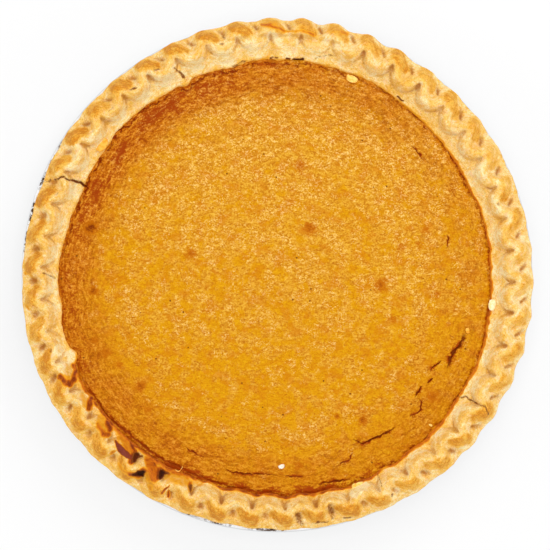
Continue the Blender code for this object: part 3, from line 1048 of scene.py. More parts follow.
@dataclass(frozen=True)
class RolledFoil:
    """Bright aluminium foil, rolled and lightly wrinkled."""

    metal: Colour = (0.86, 0.87, 0.88, 1.0)
    dull: Colour = (0.66, 0.67, 0.69, 1.0)
    hem: Colour = (0.74, 0.75, 0.76, 1.0)
    soot_and_gap_shade: Colour = shade(84, 58, 38)
    roughness: float = 0.27
    smudged_roughness: float = 0.41

    def material(self) -> bpy.types.Material:
        """Mix the foil's material.

        Returns:
            The material.
        """
        recipe = Recipe("rolled_foil")
        smudge = recipe.noise(18.0 * MM, detail=4.0, roughness=0.6)
        rolling = recipe.noise(0.5 * MM, detail=2.0, place=recipe.stretched((1.0, 0.04, 1.0), 20.0))
        wrinkle = recipe.cells(9.0 * MM, kind=Cells.EDGES)
        hem = recipe.painted("hem")
        specks = recipe.noise(1.2 * MM, detail=3.0, roughness=0.7)
        # Painted shade of the gap beside the pastry, with some soot, in patches.
        gap_shaded = recipe.times(recipe.painted("soot_and_gap_shade"), recipe.fade(specks, 0.36, 0.6))
        colour = recipe.coats(self.metal, (recipe.fade(smudge, 0.4, 0.75, 0.0, 0.7), self.dull),
                              (hem, self.hem), (recipe.fade(gap_shaded, 0.08, 0.4), self.soot_and_gap_shade))
        roughness = recipe.plus(
            recipe.fade(smudge, 0.3, 0.7, self.roughness, self.smudged_roughness),
            recipe.times(hem, 0.3))
        normal = recipe.relief((recipe.fade(wrinkle, 0.0, 0.12), 0.12 * MM),
                               (rolling, 0.015 * MM))
        return recipe.finished(colour, roughness, normal, Metallic=1.0)


@dataclass(frozen=True)
class StudioFloor:
    """Pale floor that glows a little, as a lit table does."""

    paint: Colour = (0.27, 0.27, 0.27, 1.0)
    paler: Colour = (0.28, 0.28, 0.28, 1.0)
    glow: float = 0.627

    def material(self) -> bpy.types.Material:
        """Mix the floor's material.

        Returns:
            The material.
        """
        recipe = Recipe("pale_floor")
        cloudy = recipe.noise(0.4, detail=1.0)
        colour = recipe.lay(cloudy, self.paint, self.paler)
        normal = recipe.relief((cloudy, 0.0))
        return recipe.finished(colour, 0.9, normal, Emission_Strength=self.glow,
                               Emission_Color=(1.0, 1.0, 1.0, 1.0), Specular_IOR_Level=0.0)


# ---------------------------------------------------------------- tin


@dataclass
class FoilTin:
    """Foil tin: pleated wall, flat base with two pressed rings, rolled hem."""

    form: TinForm = TIN
    pleats: int = 132
    columns_per_pleat: int = 8
    pleat_depth: float = 0.55 * MM
    shallowest_pleat: float = 0.45
    pleat_sharpness: float = 1.6
    base_rings: tuple = (62.0 * MM, 78.0 * MM)
    ring_width: float = 1.6 * MM
    ring_depth: float = 0.18 * MM
    hem_steps: int = 12
    # Painted shade of the gap, with some soot: bearing, spread and amount of each stretch.
    soot_and_gap_shade: tuple = ((191.0, 13.0, 0.6), (209.9, 3.6, 1.0), (223.3, 0.5, 1.0), (270.0, 3.0, 0.5),
                   (278.0, 2.5, 0.8), (284.5, 2.6, 1.0), (292.0, 3.4, 0.9), (300.0, 4.0, 0.45))
    hem_start: float = 118.0 * MM
    gap_shade_radius: float = 121.3 * MM
    gap_shade_width: float = 0.38 * MM
    seed: int = 7

    def base_radii(self) -> list[float]:
        """Radii of the base's stations, close together over the pressed rings."""
        steps = (-1.0, -0.5, 0.0, 0.5, 1.0)
        radii = [ring + self.ring_width * step for ring in self.base_rings for step in steps]
        return [0.0, 30.0 * MM] + radii

    def section(self) -> Section:
        """The sheet's whole section: under the base, out round the hem and back inside."""
        form = self.form
        under = [(radius, 0.0) for radius in self.base_radii()]
        over = [(radius, form.sheet) for radius in self.base_radii()]
        hem_centre = (form.rim_radius - form.hem_radius, form.depth - form.hem_radius)
        start = -180.0 - math.degrees(math.asin((form.hem_radius - form.sheet) / form.hem_radius))
        hem = arc(hem_centre, form.hem_radius, start, 90.0, self.hem_steps)
        return under + form.section(0.0) + hem + (over + form.section(form.sheet))[::-1]

    def build(self) -> bpy.types.Object:
        """Model the tin.

        Returns:
            The finished mesh, without its material.
        """
        section = self.section()
        columns = self.pleats * self.columns_per_pleat
        spun = SpunPiece("foil_tin", section, columns, self.pleats)
        bearings = FULL_TURN * np.arange(columns) / columns
        radii, heights = (np.repeat(values[:, None], columns, axis=1)
                          for values in np.array(section).T)
        rng = np.random.default_rng(self.seed)
        depths = rng.uniform(self.shallowest_pleat, 1.0, self.pleats + 1)
        depths[-1] = depths[0]
        pleat_number = np.arange(columns) / self.columns_per_pleat
        depth = self.pleat_depth * np.interp(pleat_number, range(self.pleats + 1), depths)
        fold = (0.5 + 0.5 * np.cos(2.0 * np.pi * pleat_number)) ** self.pleat_sharpness
        up_wall = rise(heights, 2.0 * MM, 16.0 * MM)
        before_flange = smoothstep((self.form.depth - 0.6 * MM - heights) / (2.4 * MM))
        on_wall = (radii > self.form.base_radius - 6.0 * MM) & (radii < self.form.mouth_radius + MM)
        radii = radii + np.where(on_wall, depth * fold * up_wall * before_flange, 0.0)
        for ring in self.base_rings:
            pressed = self.ring_depth * hump(radii, ring, self.ring_width * 0.5)
            heights = heights + np.where(heights < MM, pressed, 0.0)
        spun.place(bearings, radii, heights)
        spun.paint("soot_and_gap_shade", self.gap_shade_and_soot(bearings, radii, heights))
        spun.paint("hem", rise(radii, self.hem_start, 2.0 * MM))
        return rounded(spun.piece)

    def gap_shade_and_soot(self, bearings: np.ndarray, radii: np.ndarray,
               heights: np.ndarray) -> np.ndarray:
        """Where painted shade of the gap, with some burnt fat, darkens the flange beside the
        pastry.

        Args:
            bearings: bearing of each column.
            radii: radii by row and column.
            heights: heights by row and column.

        Returns:
            The share of soot by row and column.
        """
        share = np.zeros(radii.shape)
        for centre, spread, amount in self.soot_and_gap_shade:
            within = smoothstep((spread - np.abs(turned_from(bearings, centre))) + 0.5)
            share = np.maximum(share, amount * within)
        flow = plan_points(bearings, self.gap_shade_radius)
        patchy = np.clip(0.55 + 0.75 * Mottle(4.5 * MM, 81).at(flow)
                         + 0.35 * Mottle(1.1 * MM, 82).at(flow), 0.0, 1.0)
        near = hump(radii, self.gap_shade_radius, self.gap_shade_width)
        return share * patchy * near * (heights > self.form.depth - 2.0 * MM)

    def dress(self, piece: bpy.types.Object) -> None:
        """Give the tin its foil and its place on the model."""
        piece.data.materials.append(RolledFoil().material())
        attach(piece, BODY)
        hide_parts("tin")


# ---------------------------------------------------------------- pastry


class Stroke(NamedTuple):
    """A tapering mark on the rim.

    Attributes:
        path: bearings in degrees and radii in millimetres.
        start: half width in millimetres where the path starts.
        end: half width where it ends.
        amount: how strong the mark is.
        depth: how deep it cuts, in millimetres.
    """

    path: tuple[tuple[float, float], ...]
    start: float
    end: float
    amount: float
    depth: float = 0.0


@dataclass
class PastryShell:
    """Pastry shell: floor, wall and crimped rim, with its folds, cracks and burnt spill."""

    form: RimForm = RIM
    tin: TinForm = TIN
    columns_per_crimp: int = 28
    rim_start: int = 5
    rim_rows: int = 44
    floor_top: float = 3.6 * MM
    floor_radius: float = 88.4 * MM
    clearance: float = 0.6 * MM
    underside: float = 29.9 * MM
    highest: float = 38.9 * MM
    wedge_depth: float = 0.9 * MM
    bay_depth: float = 1.6 * MM
    apron_end: float = 114.0 * MM
    lip_start: float = 115.0 * MM
    lip_inset: float = 0.35 * MM
    flow_stretch: float = 0.3
    per_degree: float = 1.9 * MM
    pleat_stretch: float = 0.3
    crinkle_stretch: float = 0.8
    lip_edge: float = 1.0 * MM
    lip_undercut: float = 0.5 * MM
    lip_round: float = 0.9 * MM
    outer_slope: float = 5.4 * MM
    gentle_fade: float = 7.0 * MM
    bay_size: tuple = ((5, 1.3), (50, 1.1), (100, 1.4), (150, 1.7), (200, 1.9), (240, 1.7),
                       (280, 2.2), (320, 1.8))
    bay_shift: tuple = ((5, 1.5), (20, 1.8), (35, 1.7), (50, 1.2), (72, 1.2), (88, 1.6),
                        (100, 1.8), (125, 2.0), (150, 1.0), (170, 0.6), (200, 1.4), (222, 1.5),
                        (240, 1.0), (265, 0.5), (280, 0.1), (300, 1.1), (320, 0.8), (340, 1.2))
    bay_lean: tuple = ((0, -0.6), (60, -0.8), (125, -0.65), (155, -0.3), (175, 0.0), (200, -0.1),
                       (230, -0.5), (250, -0.4), (270, 0.0), (290, -0.6), (320, -0.85))
    crispness: tuple = ((5, 0.25), (18, 0.35), (30, 0.85), (46, 0.9), (58, 0.5), (72, 0.5),
                        (85, 0.25), (110, 0.3), (150, 0.2), (190, 0.3), (230, 0.2),
                        (265, 0.06), (300, 0.1), (335, 0.25))
    browning: tuple = ((5, 0.54), (50, 0.42), (100, 0.4), (150, 0.46), (200, 0.44), (240, 0.56),
                       (280, 0.66), (320, 0.64))
    outer_toast: tuple = ((5, -0.08), (50, -0.03), (92, -0.18), (135, -0.1), (180, 0.04),
                          (212, 0.12), (240, -0.02), (270, -0.02), (315, 0.0))
    paleness: tuple = ((5, 0.24), (50, 0.08), (100, 0.28), (150, 0.3), (200, 0.05), (240, 0.18),
                       (280, 0.3), (320, 0.32))
    cracks: tuple = table(
        Stroke,
        (((293.8, 115.3), (294.3, 113.4), (295.1, 112.0), (294.8, 109.6),
          (295.3, 106.8), (295.7, 104.4), (295.2, 101.5)), 0.25, 0.6, 0.62, 2.0),
        (((292.3, 120.2), (292.6, 117.8), (293.4, 117.2)), 0.4, 0.45, 0.34),
        (((123.5, 101.5), (123.6, 104.0), (122.6, 107.0), (122.3, 112.6)), 0.3, 0.35,
         0.5, 0.8),
        (((122.3, 112.6), (121.9, 116.4), (123.1, 120.0)), 0.35, 0.35, 0.46, 0.2),
        (((152.6, 103.6), (153.0, 107.4), (153.4, 111.0)), 0.35, 0.4, 0.28),
        (((335.0, 105.6), (334.9, 107.2), (334.2, 109.2), (333.7, 110.6)), 1.0, 0.35,
         0.4, 0.6),
        (((270.9, 111.0), (270.3, 108.6), (269.3, 105.6)), 0.4, 0.3, 0.34),
        (((12.4, 108.4), (11.2, 107.0), (10.0, 105.8)), 0.35, 0.35, 0.3),
        (((13.2, 108.6), (14.6, 108.4)), 0.35, 0.3, 0.34),
        (((163.0, 119.9), (164.5, 119.5)), 0.3, 0.3, 0.45),
        (((168.2, 119.2), (171.2, 118.8)), 0.3, 0.3, 0.45),
        (((34.0, 103.5), (35.6, 103.4)), 0.35, 0.3, 0.65, 0.36),
        # These four strokes cut slots at the custard's border; their dark char paint is partly
        # painted shade in the slots.
        (((358.3, 104.6), (358.9, 104.6)), 0.25, 0.25, 0.7, 0.36),
        (((359.4, 104.3), (360.1, 104.3)), 0.25, 0.25, 0.7, 0.36),
        (((362.3, 104.4), (363.5, 104.4)), 0.3, 0.25, 0.75, 0.45),
        (((364.4, 104.4), (366.7, 104.6)), 0.45, 0.45, 0.95, 1.8),
        (((348.3, 102.6), (350.9, 104.1), (353.2, 103.9), (354.6, 104.4)), 0.3, 0.35, 0.42),
        (((346.2, 113.9), (346.9, 113.6)), 0.45, 0.45, 0.32),
        (((321.7, 113.0), (323.2, 112.0)), 0.3, 0.5, 0.4),
        (((329.4, 114.1), (330.4, 113.4)), 0.35, 0.4, 0.36),
        (((314.6, 111.9), (315.8, 111.7)), 0.35, 0.3, 0.24),
        (((290.4, 111.9), (291.1, 111.7)), 0.45, 0.45, 0.32),
        (((71.6, 110.8), (72.5, 110.4)), 0.3, 0.3, 0.3),
        (((251.6, 113.0), (252.2, 112.8)), 0.45, 0.4, 0.3))
    thin: float = 0.8 * MM
    pockets: tuple = table(
        Stroke,
        (((201.9, 110.6), (202.5, 107.9)), 0.3, 0.95, 0.5, 1.2),
        (((210.0, 111.0), (210.4, 108.6)), 0.5, 1.4, 0.9, 2.0),
        (((210.2, 108.4), (208.9, 107.1)), 1.0, 0.3, 0.58, 0.8),
        (((217.7, 111.1), (218.1, 108.4)), 0.75, 1.45, 0.7, 1.5),
        (((217.7, 108.6), (216.9, 107.3)), 0.8, 0.3, 0.52, 0.6),
        (((214.4, 112.6), (214.7, 114.0)), 1.1, 1.7, 0.98, 2.0),
        (((214.8, 114.6), (216.1, 116.9)), 1.5, 0.55, 0.86, 1.4),
        (((152.2, 117.8), (152.0, 117.3)), 0.5, 0.6, 0.5, 0.6),
        (((170.3, 118.9), (170.4, 118.6)), 0.5, 0.5, 0.6, 0.5),
        (((347.1, 118.4), (347.6, 116.2)), 0.3, 0.5, 0.38, 0.5),
        (((167.2, 118.2), (167.0, 115.4), (167.1, 112.2)), 0.5, 1.1, 0.29, 1.2),
        (((174.6, 118.2), (175.2, 113.4)), 1.3, 0.8, 0.29, 1.2))
    soaking: tuple = ((0, 0.15), (30, 0.2), (60, 0.46), (140, 0.5), (160, 0.6), (215, 0.6),
                      (240, 0.56), (252, 0.15), (330, 0.13))
    syrup_softness: float = 2.0 * MM
    skin_softness: float = 0.7 * MM
    skins: tuple = table(
        Stroke,
        (((221.8, 110.7), (219.0, 110.6)), 1.75, 1.0, 0.98),
        (((221.8, 110.7), (224.6, 109.9)), 1.75, 0.5, 0.98),
        (((208.2, 116.8), (207.8, 113.9), (207.2, 111.6)), 0.6, 0.3, 0.74),
        (((206.3, 117.2), (206.9, 113.8)), 0.5, 0.4, 0.7))
    syrup: tuple = table(
        Stroke,
        (((200.2, 105.4), (203.6, 106.8), (206.0, 107.8), (208.6, 108.2)), 1.4, 2.5, 0.24),
        (((204.0, 104.8), (208.0, 105.6), (214.0, 105.4), (227.0, 105.9)), 1.0, 1.3, 0.5),
        (((202.2, 109.6), (202.8, 107.2)), 0.8, 1.3, 0.56),
        (((210.6, 111.2), (211.2, 108.0)), 1.2, 1.7, 0.72),
        (((208.8, 107.2), (211.4, 107.4)), 0.8, 1.2, 0.66),
        (((211.6, 112.4), (213.2, 109.4), (215.0, 106.2)), 2.2, 2.4, 0.5),
        (((211.6, 109.2), (212.6, 107.2), (214.0, 106.0)), 0.8, 0.9, 0.62),
        (((212.2, 114.6), (213.6, 111.6)), 1.0, 1.6, 0.36),
        (((218.2, 112.0), (218.9, 108.0)), 1.4, 1.7, 0.7),
        (((219.2, 108.8), (221.6, 107.6), (224.0, 106.4)), 1.9, 1.6, 0.42),
        (((219.0, 108.2), (220.4, 106.4), (222.0, 105.4)), 1.2, 0.8, 0.68),
        (((224.0, 108.6), (225.4, 106.8)), 1.1, 1.1, 0.26),
        (((214.6, 112.0), (214.8, 115.4), (216.6, 117.2)), 1.9, 1.3, 0.62),
        (((216.6, 117.0), (218.4, 117.8), (220.2, 116.8)), 1.0, 0.6, 0.4),
        (((223.2, 114.6), (223.1, 113.4)), 1.0, 0.8, 0.5),
        (((227.0, 110.4), (227.9, 111.4)), 1.5, 1.0, 0.68),
        (((227.8, 111.2), (230.6, 110.4)), 1.7, 1.0, 0.54),
        (((228.0, 109.2), (231.6, 108.4)), 1.8, 1.3, 0.28),
        (((227.3, 108.2), (229.2, 106.8)), 1.1, 1.5, 0.72),
        (((229.6, 107.6), (232.2, 106.6)), 1.2, 0.6, 0.3),
        (((234.9, 109.2), (236.0, 107.6), (236.8, 106.4)), 1.1, 1.3, 0.7),
        (((236.2, 109.0), (238.6, 108.6)), 1.7, 1.0, 0.24),
        (((245.2, 113.6), (243.6, 112.8), (242.8, 110.6)), 1.5, 1.5, 0.64),
        (((242.6, 110.8), (243.1, 108.6), (244.8, 106.6)), 1.6, 1.2, 0.7),
        (((244.6, 111.8), (244.2, 109.8)), 1.6, 1.0, 0.3),
        (((244.8, 105.9), (246.6, 105.8)), 0.9, 0.7, 0.68),
        (((210.8, 117.3), (211.2, 116.6)), 1.4, 1.2, 0.38),
        (((356.7, 120.2), (358.4, 119.6), (360.1, 118.4), (361.8, 117.0)), 0.7, 0.6, 0.62),
        (((361.8, 117.0), (364.0, 117.0), (365.8, 117.4)), 0.35, 0.35, 0.5),
        (((366.2, 117.2), (368.6, 116.4)), 0.6, 0.9, 0.52),
        (((358.6, 120.8), (359.6, 120.4)), 1.2, 1.2, 0.26),
        (((11.2, 118.4), (14.4, 119.8)), 0.8, 0.7, 0.17),
        (((15.0, 120.1), (16.2, 120.4)), 1.2, 0.9, 0.42),
        (((78.6, 120.8), (81.2, 120.4)), 0.9, 0.7, 0.17),
        (((262.6, 119.2), (263.2, 119.6)), 0.5, 0.5, 0.44),
        (((270.6, 119.6), (271.0, 120.2)), 0.5, 0.5, 0.44))
    pale_spots: tuple = table(
        Stroke,
        (((157.4, 107.8), (160.2, 109.6)), 2.2, 1.8, 0.4),
        (((247.8, 106.2), (249.4, 104.4)), 2.2, 1.8, 0.25),
        (((246.4, 112.0), (248.0, 110.0)), 2.0, 1.6, 0.32),
        (((250.8, 110.4), (252.0, 109.4)), 1.6, 1.4, 0.3),
        (((358.8, 114.6), (360.6, 111.6)), 2.0, 1.8, 0.32),
        (((352.4, 111.8), (355.0, 111.0)), 1.8, 1.6, 0.26),
        (((297.8, 110.4), (301.0, 110.4)), 1.4, 1.4, 0.26),
        (((306.2, 110.4), (308.6, 110.0)), 1.4, 1.3, 0.26),
        (((263.0, 106.0), (265.8, 106.0)), 1.5, 1.4, 0.28),
        (((327.0, 115.4), (328.2, 113.2)), 1.6, 1.4, 0.3),
        (((61.4, 110.4), (63.0, 108.0), (65.6, 109.6)), 1.2, 1.4, 0.26),
        (((69.6, 108.8), (73.4, 110.2)), 1.3, 1.2, 0.28))

    def section(self) -> Section:
        """A plain section with one station for each ring of the finished shell."""
        inside = [(0.0, self.floor_top), (60.0 * MM, self.floor_top),
                  (self.floor_radius, self.floor_top), (96.0 * MM, 15.0 * MM),
                  (101.0 * MM, 25.0 * MM)]
        inner, outer = 103.0 * MM, 121.0 * MM
        top = [(inner + (outer - inner) * row / (self.rim_rows - 1), 34.0 * MM)
               for row in range(self.rim_rows)]
        lip = [(outer + 0.5 * MM, 33.0 * MM), (outer + MM, 32.0 * MM),
               (outer + MM, 31.0 * MM), (outer + 0.5 * MM, self.underside)]
        under = self.tin.section(self.clearance)[::-1]
        return inside + top + lip + under + [(60.0 * MM, self.clearance), (0.0, self.clearance)]

    def stroked(self, strokes: Sequence[Stroke], softness: float = 0.5 * MM,
                cut: bool = False) -> np.ndarray:
        """Lay strokes on the rim.

        Args:
            strokes: the strokes.
            softness: how wide their edges fade.
            cut: whether their depths are wanted, in metres, and not their amounts.

        Returns:
            The strongest stroke at each row and column.
        """
        total = np.zeros(self.radii.shape)
        for stroke in strokes:
            bearing_path, radius_path = np.array(stroke.path).T
            path = plan_points(bearing_path, radius_path * MM)
            away, along = distance_to_path(self.frayed, path)
            reach = (stroke.start + (stroke.end - stroke.start) * along) * MM
            level = stroke.depth * MM if cut else stroke.amount
            total = np.maximum(total, level * smoothstep((reach - away) / softness + 0.5))
        return total

    def survey(self) -> None:
        """Lay out the rim's columns and rows, and measure what its relief depends on."""
        form = self.form
        columns = form.crimps * self.columns_per_crimp
        self.crimp_counts = np.arange(columns) / self.columns_per_crimp
        self.bearings = form.bearing_after(self.crimp_counts)
        self.inner = form.inner_radius(self.bearings)
        self.outer = form.outline_radius(self.crimp_counts)
        share = np.linspace(0.0, 1.0, self.rim_rows)[:, None]
        self.radii = self.inner + (self.outer - self.lip_inset - self.inner) * share
        self.round_about = np.broadcast_to(self.bearings, self.radii.shape)
        self.plan = plan_points(self.round_about, self.radii)
        self.beside = form.rope_distance(self.crimp_counts, self.radii)
        pitch = 2.0 * np.pi * form.rope_middle / form.crimps
        self.from_fold = (self.crimp_counts - np.round(self.crimp_counts)) * pitch
        half = np.floor(self.crimp_counts) + 0.5
        self.from_bay = (self.crimp_counts - half) * pitch
        self.fold_radius = form.rope_radius(np.round(self.crimp_counts))
        self.bay_radius = form.rope_radius(half)
        around_rim = np.broadcast_to(self.crimp_counts * pitch, self.radii.shape)
        self.flow = np.stack((around_rim * self.flow_stretch, self.beside), axis=-1)
        self.frayed = self.plan + 0.45 * MM * warp(self.plan, 1.8 * MM, (41, 42))

    def vary(self, seed: int, amount: float) -> np.ndarray:
        """A random share for each crimp, round 1, read smoothly along the rim."""
        return 1.0 + self.form.per_crimp(seed, self.crimp_counts, amount)

    def rope(self) -> np.ndarray:
        """Share of the rope's rise: crisp inside near the folds, sloping gently outside."""
        form = self.form
        folded_out = around(self.bearings, 3.0, 12.0)
        kept = 1.0 - folded_out * (1.0 - rise(self.radii, self.apron_end, 2.0 * MM))
        ragged = 1.0 + 0.08 * Mottle(2.6 * MM, 16).at(self.plan)
        inside = shares(-self.beside / form.rope_half_width * ragged)
        outside = shares(self.beside / self.outer_slope * ragged)
        near_fold = hump(self.from_fold, 0.0, 4.6 * MM)
        sharp = np.maximum(closed_curve(self.bearings, self.crispness), 0.9 * near_fold)
        crisp_side = (1.0 - inside ** 2.7) ** form.rope_fullness
        gentle_side = ((1.0 - 0.5 * smoothstep(inside * 0.85))
                       * smoothstep((self.radii - self.inner) / self.gentle_fade))
        profile = gentle_side + (crisp_side - gentle_side) * sharp
        profile = np.where(self.beside > 0.0, 1.0 - smoothstep(outside), profile)
        fade = (smoothstep((self.radii - self.inner) / form.rope_fade)
                * smoothstep((self.outer - self.radii) / form.lip_fade + 0.25))
        return fade * kept * profile

    def notches(self) -> tuple[np.ndarray, np.ndarray]:
        """How deep the wedge inside each outer fold and the bay outside each inner one are.

        Returns:
            Two shares from 0 to 1, by row and column.
        """
        inward = self.fold_radius - 3.4 * MM - self.radii
        half_width = 0.65 * MM + 0.46 * np.clip(inward, 0.0, None)
        aslant = (self.from_fold + 0.2 * MM - 0.1 * inward) / half_width
        wedge = np.exp(-aslant ** 4) * smoothstep(inward / MM + 0.6)
        wedge = wedge * (1.0 - rise(inward, 0.2 * MM, 6.4 * MM))
        shift = closed_curve(self.bearings, self.bay_shift) * MM
        outward = self.radii - self.bay_radius - 4.0 * MM - shift
        lean = closed_curve(self.bearings, self.bay_lean)
        aslant = self.from_bay - 1.2 * MM - lean * (outward - 1.3 * MM)
        size = closed_curve(self.bearings, self.bay_size)
        wide = (size + self.form.per_crimp(75, self.crimp_counts, 0.25)) * MM
        wide = wide * (0.7 + 0.6 * smoothstep(outward / (4.0 * MM)))
        bay = np.exp(-((aslant / wide) ** 2)) * smoothstep((outward + 0.6 * MM) / (1.3 * MM))
        bay = bay * (1.0 - rise(outward, 1.0 * MM, 5.4 * MM))
        return wedge * self.vary(71, 0.3), bay * self.vary(72, 0.2)

    def crumple(self, on_rope: np.ndarray) -> np.ndarray:
        """Uneven relief of the dough: lumps everywhere, pleats on the apron and the lip."""
        pleated, crinkled = (
            np.stack((self.round_about * self.per_degree, self.radii * stretch), axis=-1)
            for stretch in (self.pleat_stretch, self.crinkle_stretch))
        on_apron = (1.0 - on_rope) * smoothstep((self.apron_end - self.radii) / (3.0 * MM))
        return MM * (bumps(self.plan, (0.3, 5.0, 11), (0.2, 2.4, 12), (0.12, 1.2, 13))
                     + bumps(self.flow, (0.16, 1.3, 96), (0.12, 0.8, 97)) * on_rope
                     + bumps(pleated, (0.22, 1.5, 14)) * on_apron
                     + bumps(crinkled, (0.3, 1.3, 15)) * self.on_lip)

    def rim(self) -> None:
        """Work out the heights and the paint of the rim's upper surface."""
        self.survey()
        form = self.form
        rope = self.rope()
        on_rope = smoothstep(rope / 0.25)
        self.on_lip = (1.0 - on_rope) * rise(self.radii, self.lip_start, 3.0 * MM)
        lip = form.lip_drop * smoothstep((self.radii - self.outer + form.lip_width)
                                         / form.lip_width)
        heights = form.apron_height(self.bearings, self.radii) - lip + form.rope_rise * rope
        wedge, bay = self.notches()
        heights -= self.wedge_depth * wedge + self.bay_depth * bay
        heights = soften(heights, 2) + self.crumple(on_rope)
        opened = np.maximum(self.stroked(self.cracks, self.thin, cut=True),
                            self.stroked(self.pockets, 2.0 * self.thin, cut=True))
        self.heights = np.minimum(heights - opened, self.highest)
        self.paints = {
            "toast_and_shade": self.toast_and_shade(on_rope),
            "crease_shade_and_brown": self.painted_crease_shade(wedge, bay),
            "syrup": self.stained(),
            "char_and_slot_shade": np.maximum(self.stroked(self.cracks, self.thin),
                               self.stroked(self.pockets, 1.4 * self.thin)),
            "beside": self.beside,
        }

    def toast_and_shade(self, on_rope: np.ndarray) -> np.ndarray:
        """How brown each place is baked, from 0 to 1: most on the tops of the folds; painted shade
        adds to it by the inner edge and on the rope's inner flank, and painted light takes from it
        on the left side's lobes.
        """
        sideways = np.broadcast_to(self.from_fold, self.radii.shape)
        on_fold = np.stack((sideways, self.radii - self.fold_radius), axis=-1)
        on_fold = on_fold + 0.7 * MM * warp(self.plan, 2.6 * MM, (45, 46))
        comma = np.array(((-0.6, 1.8), (2.4, 0.6), (5.6, -2.0))) * MM
        away, along = distance_to_path(on_fold, comma)
        arch = smoothstep((3.0 * MM - 1.2 * MM * along - away) / (1.8 * MM) + 0.5)
        lobe = hump(self.from_bay, 0.0, 4.6 * MM) * smoothstep((-self.beside - MM) / (2.0 * MM))
        outwards = rise(self.radii, 110.0 * MM, 7.0 * MM)
        toast_and_shade = 0.3 + (0.05 + closed_curve(self.bearings, self.outer_toast)) * outwards
        # Browner by the inner edge: partly painted shade that offsets the light on the slope there.
        toast_and_shade += 0.18 * (1.0 - smoothstep((self.radii - self.inner) / (3.4 * MM)))
        toast_and_shade += arch * closed_curve(self.bearings, self.browning) * self.vary(73, 0.35)
        # Paler on the inner lobes: their own colour, and, most on the left side, painted light
        # where those lobes face away from the lamps.
        toast_and_shade -= lobe * closed_curve(self.bearings, self.paleness) * self.vary(76, 0.5)
        toast_and_shade -= self.stroked(self.pale_spots, 1.4 * MM)
        # Browner on the rope's inner flank, a warm painted shade there, and along the rope's top.
        toast_and_shade += 0.06 * (hump(self.beside, -4.6 * MM, 1.7 * MM) + hump(self.beside, 0.0, 2.4 * MM))
        toast_and_shade += bumps(self.plan, (0.09, 9.0, 21), (0.1, 2.6, 23))
        toast_and_shade += bumps(self.flow, (0.09, 1.6, 22)) * on_rope
        return shares(toast_and_shade)

    def painted_crease_shade(self, wedge: np.ndarray, bay: np.ndarray) -> np.ndarray:
        """Painted shade, with some browning, in the folds' hollows: at the notches, in the bays and
        along the sides.
        """
        edge = hump(self.beside, -3.9 * MM, 0.55 * MM) * smoothstep(
            (self.radii - self.inner) / MM - 1.0)
        near_fold = hump(self.from_fold, 0.0, 3.6 * MM)
        crisp = closed_curve(self.bearings, self.crispness)
        line = edge * np.maximum(0.75 * near_fold, 0.5 * crisp)
        patchy = shares(0.75 + 0.5 * Mottle(2.0 * MM, 43).at(self.plan))
        crease_shade_and_brown = np.maximum(line * patchy, shares(0.8 * wedge))
        return np.maximum(crease_shade_and_brown, shares(bay * (0.6 + 0.4 * patchy)))

    def stained(self) -> np.ndarray:
        """How far custard and syrup have soaked in: at the border, and where they ran."""
        border = self.radii - self.inner + 0.5 * MM * Mottle(2.2 * MM, 44).at(self.plan)
        soaked = closed_curve(self.bearings, self.soaking) * (1.0 - smoothstep(border / MM))
        ran = self.stroked(self.syrup, self.syrup_softness)
        return np.maximum.reduce((soaked, ran, self.stroked(self.skins, self.skin_softness)))

    def build(self) -> bpy.types.Object:
        """Model the shell.

        Returns:
            The finished mesh, without its material.
        """
        section = self.section()
        self.rim()
        columns = len(self.crimp_counts)
        spun = SpunPiece("pastry_shell", section, columns, self.form.crimps)
        radii, heights = (np.repeat(values[:, None], columns, axis=1)
                          for values in np.array(section).T)
        first, last = self.rim_start, self.rim_start + self.rim_rows
        radii[first:last] = self.radii
        heights[first:last] = self.heights
        inner = self.radii[0]
        for row, share in ((3, 0.45), (4, 0.82)):
            radii[row] = self.floor_radius + (inner - self.floor_radius) * share
            heights[row] = self.floor_top + (self.heights[0] - self.floor_top) * share
        edge_z = self.heights[-1]
        lowest = self.underside + self.lip_edge
        lip_rows = ((self.outer - 0.1 * MM, edge_z - 0.35 * MM),
                    (self.outer, np.maximum(edge_z - self.lip_round, lowest)),
                    (self.outer, np.full(columns, lowest)),
                    (self.outer - self.lip_undercut, np.full(columns, self.underside)))
        for row, (radius, height) in enumerate(lip_rows, start=last):
            radii[row] = radius
            heights[row] = height
        spun.place(self.bearings, radii, heights)
        for name, amounts in self.paints.items():
            full = np.zeros(radii.shape)
            full[first:last] = amounts
            full[last:last + 4] = amounts[-1]
            if name == "toast_and_shade":
                full[last:] = np.maximum(full[last:], 0.5)
            if name == "syrup":
                full[:first] = 0.6
            spun.paint(name, full)
        return rounded(spun.piece)

    def dress(self, piece: bpy.types.Object) -> None:
        """Give the shell its baked finish and its place on the model."""
        piece.data.materials.append(BakedPastry().material())
        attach(piece, BODY)
        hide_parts("crust")


# ---------------------------------------------------------------- custard


class Blister(NamedTuple):
    """A burst bubble in the custard: its place and radius in millimetres, and its darkness."""

    x: float
    y: float
    radius: float
    darkness: float


class Tear(NamedTuple):
    """A crack in the custard: path in millimetres, half width, depth and darkness."""

    path: tuple[tuple[float, float], ...]
    width: float
    depth: float
    darkness: float = 1.0


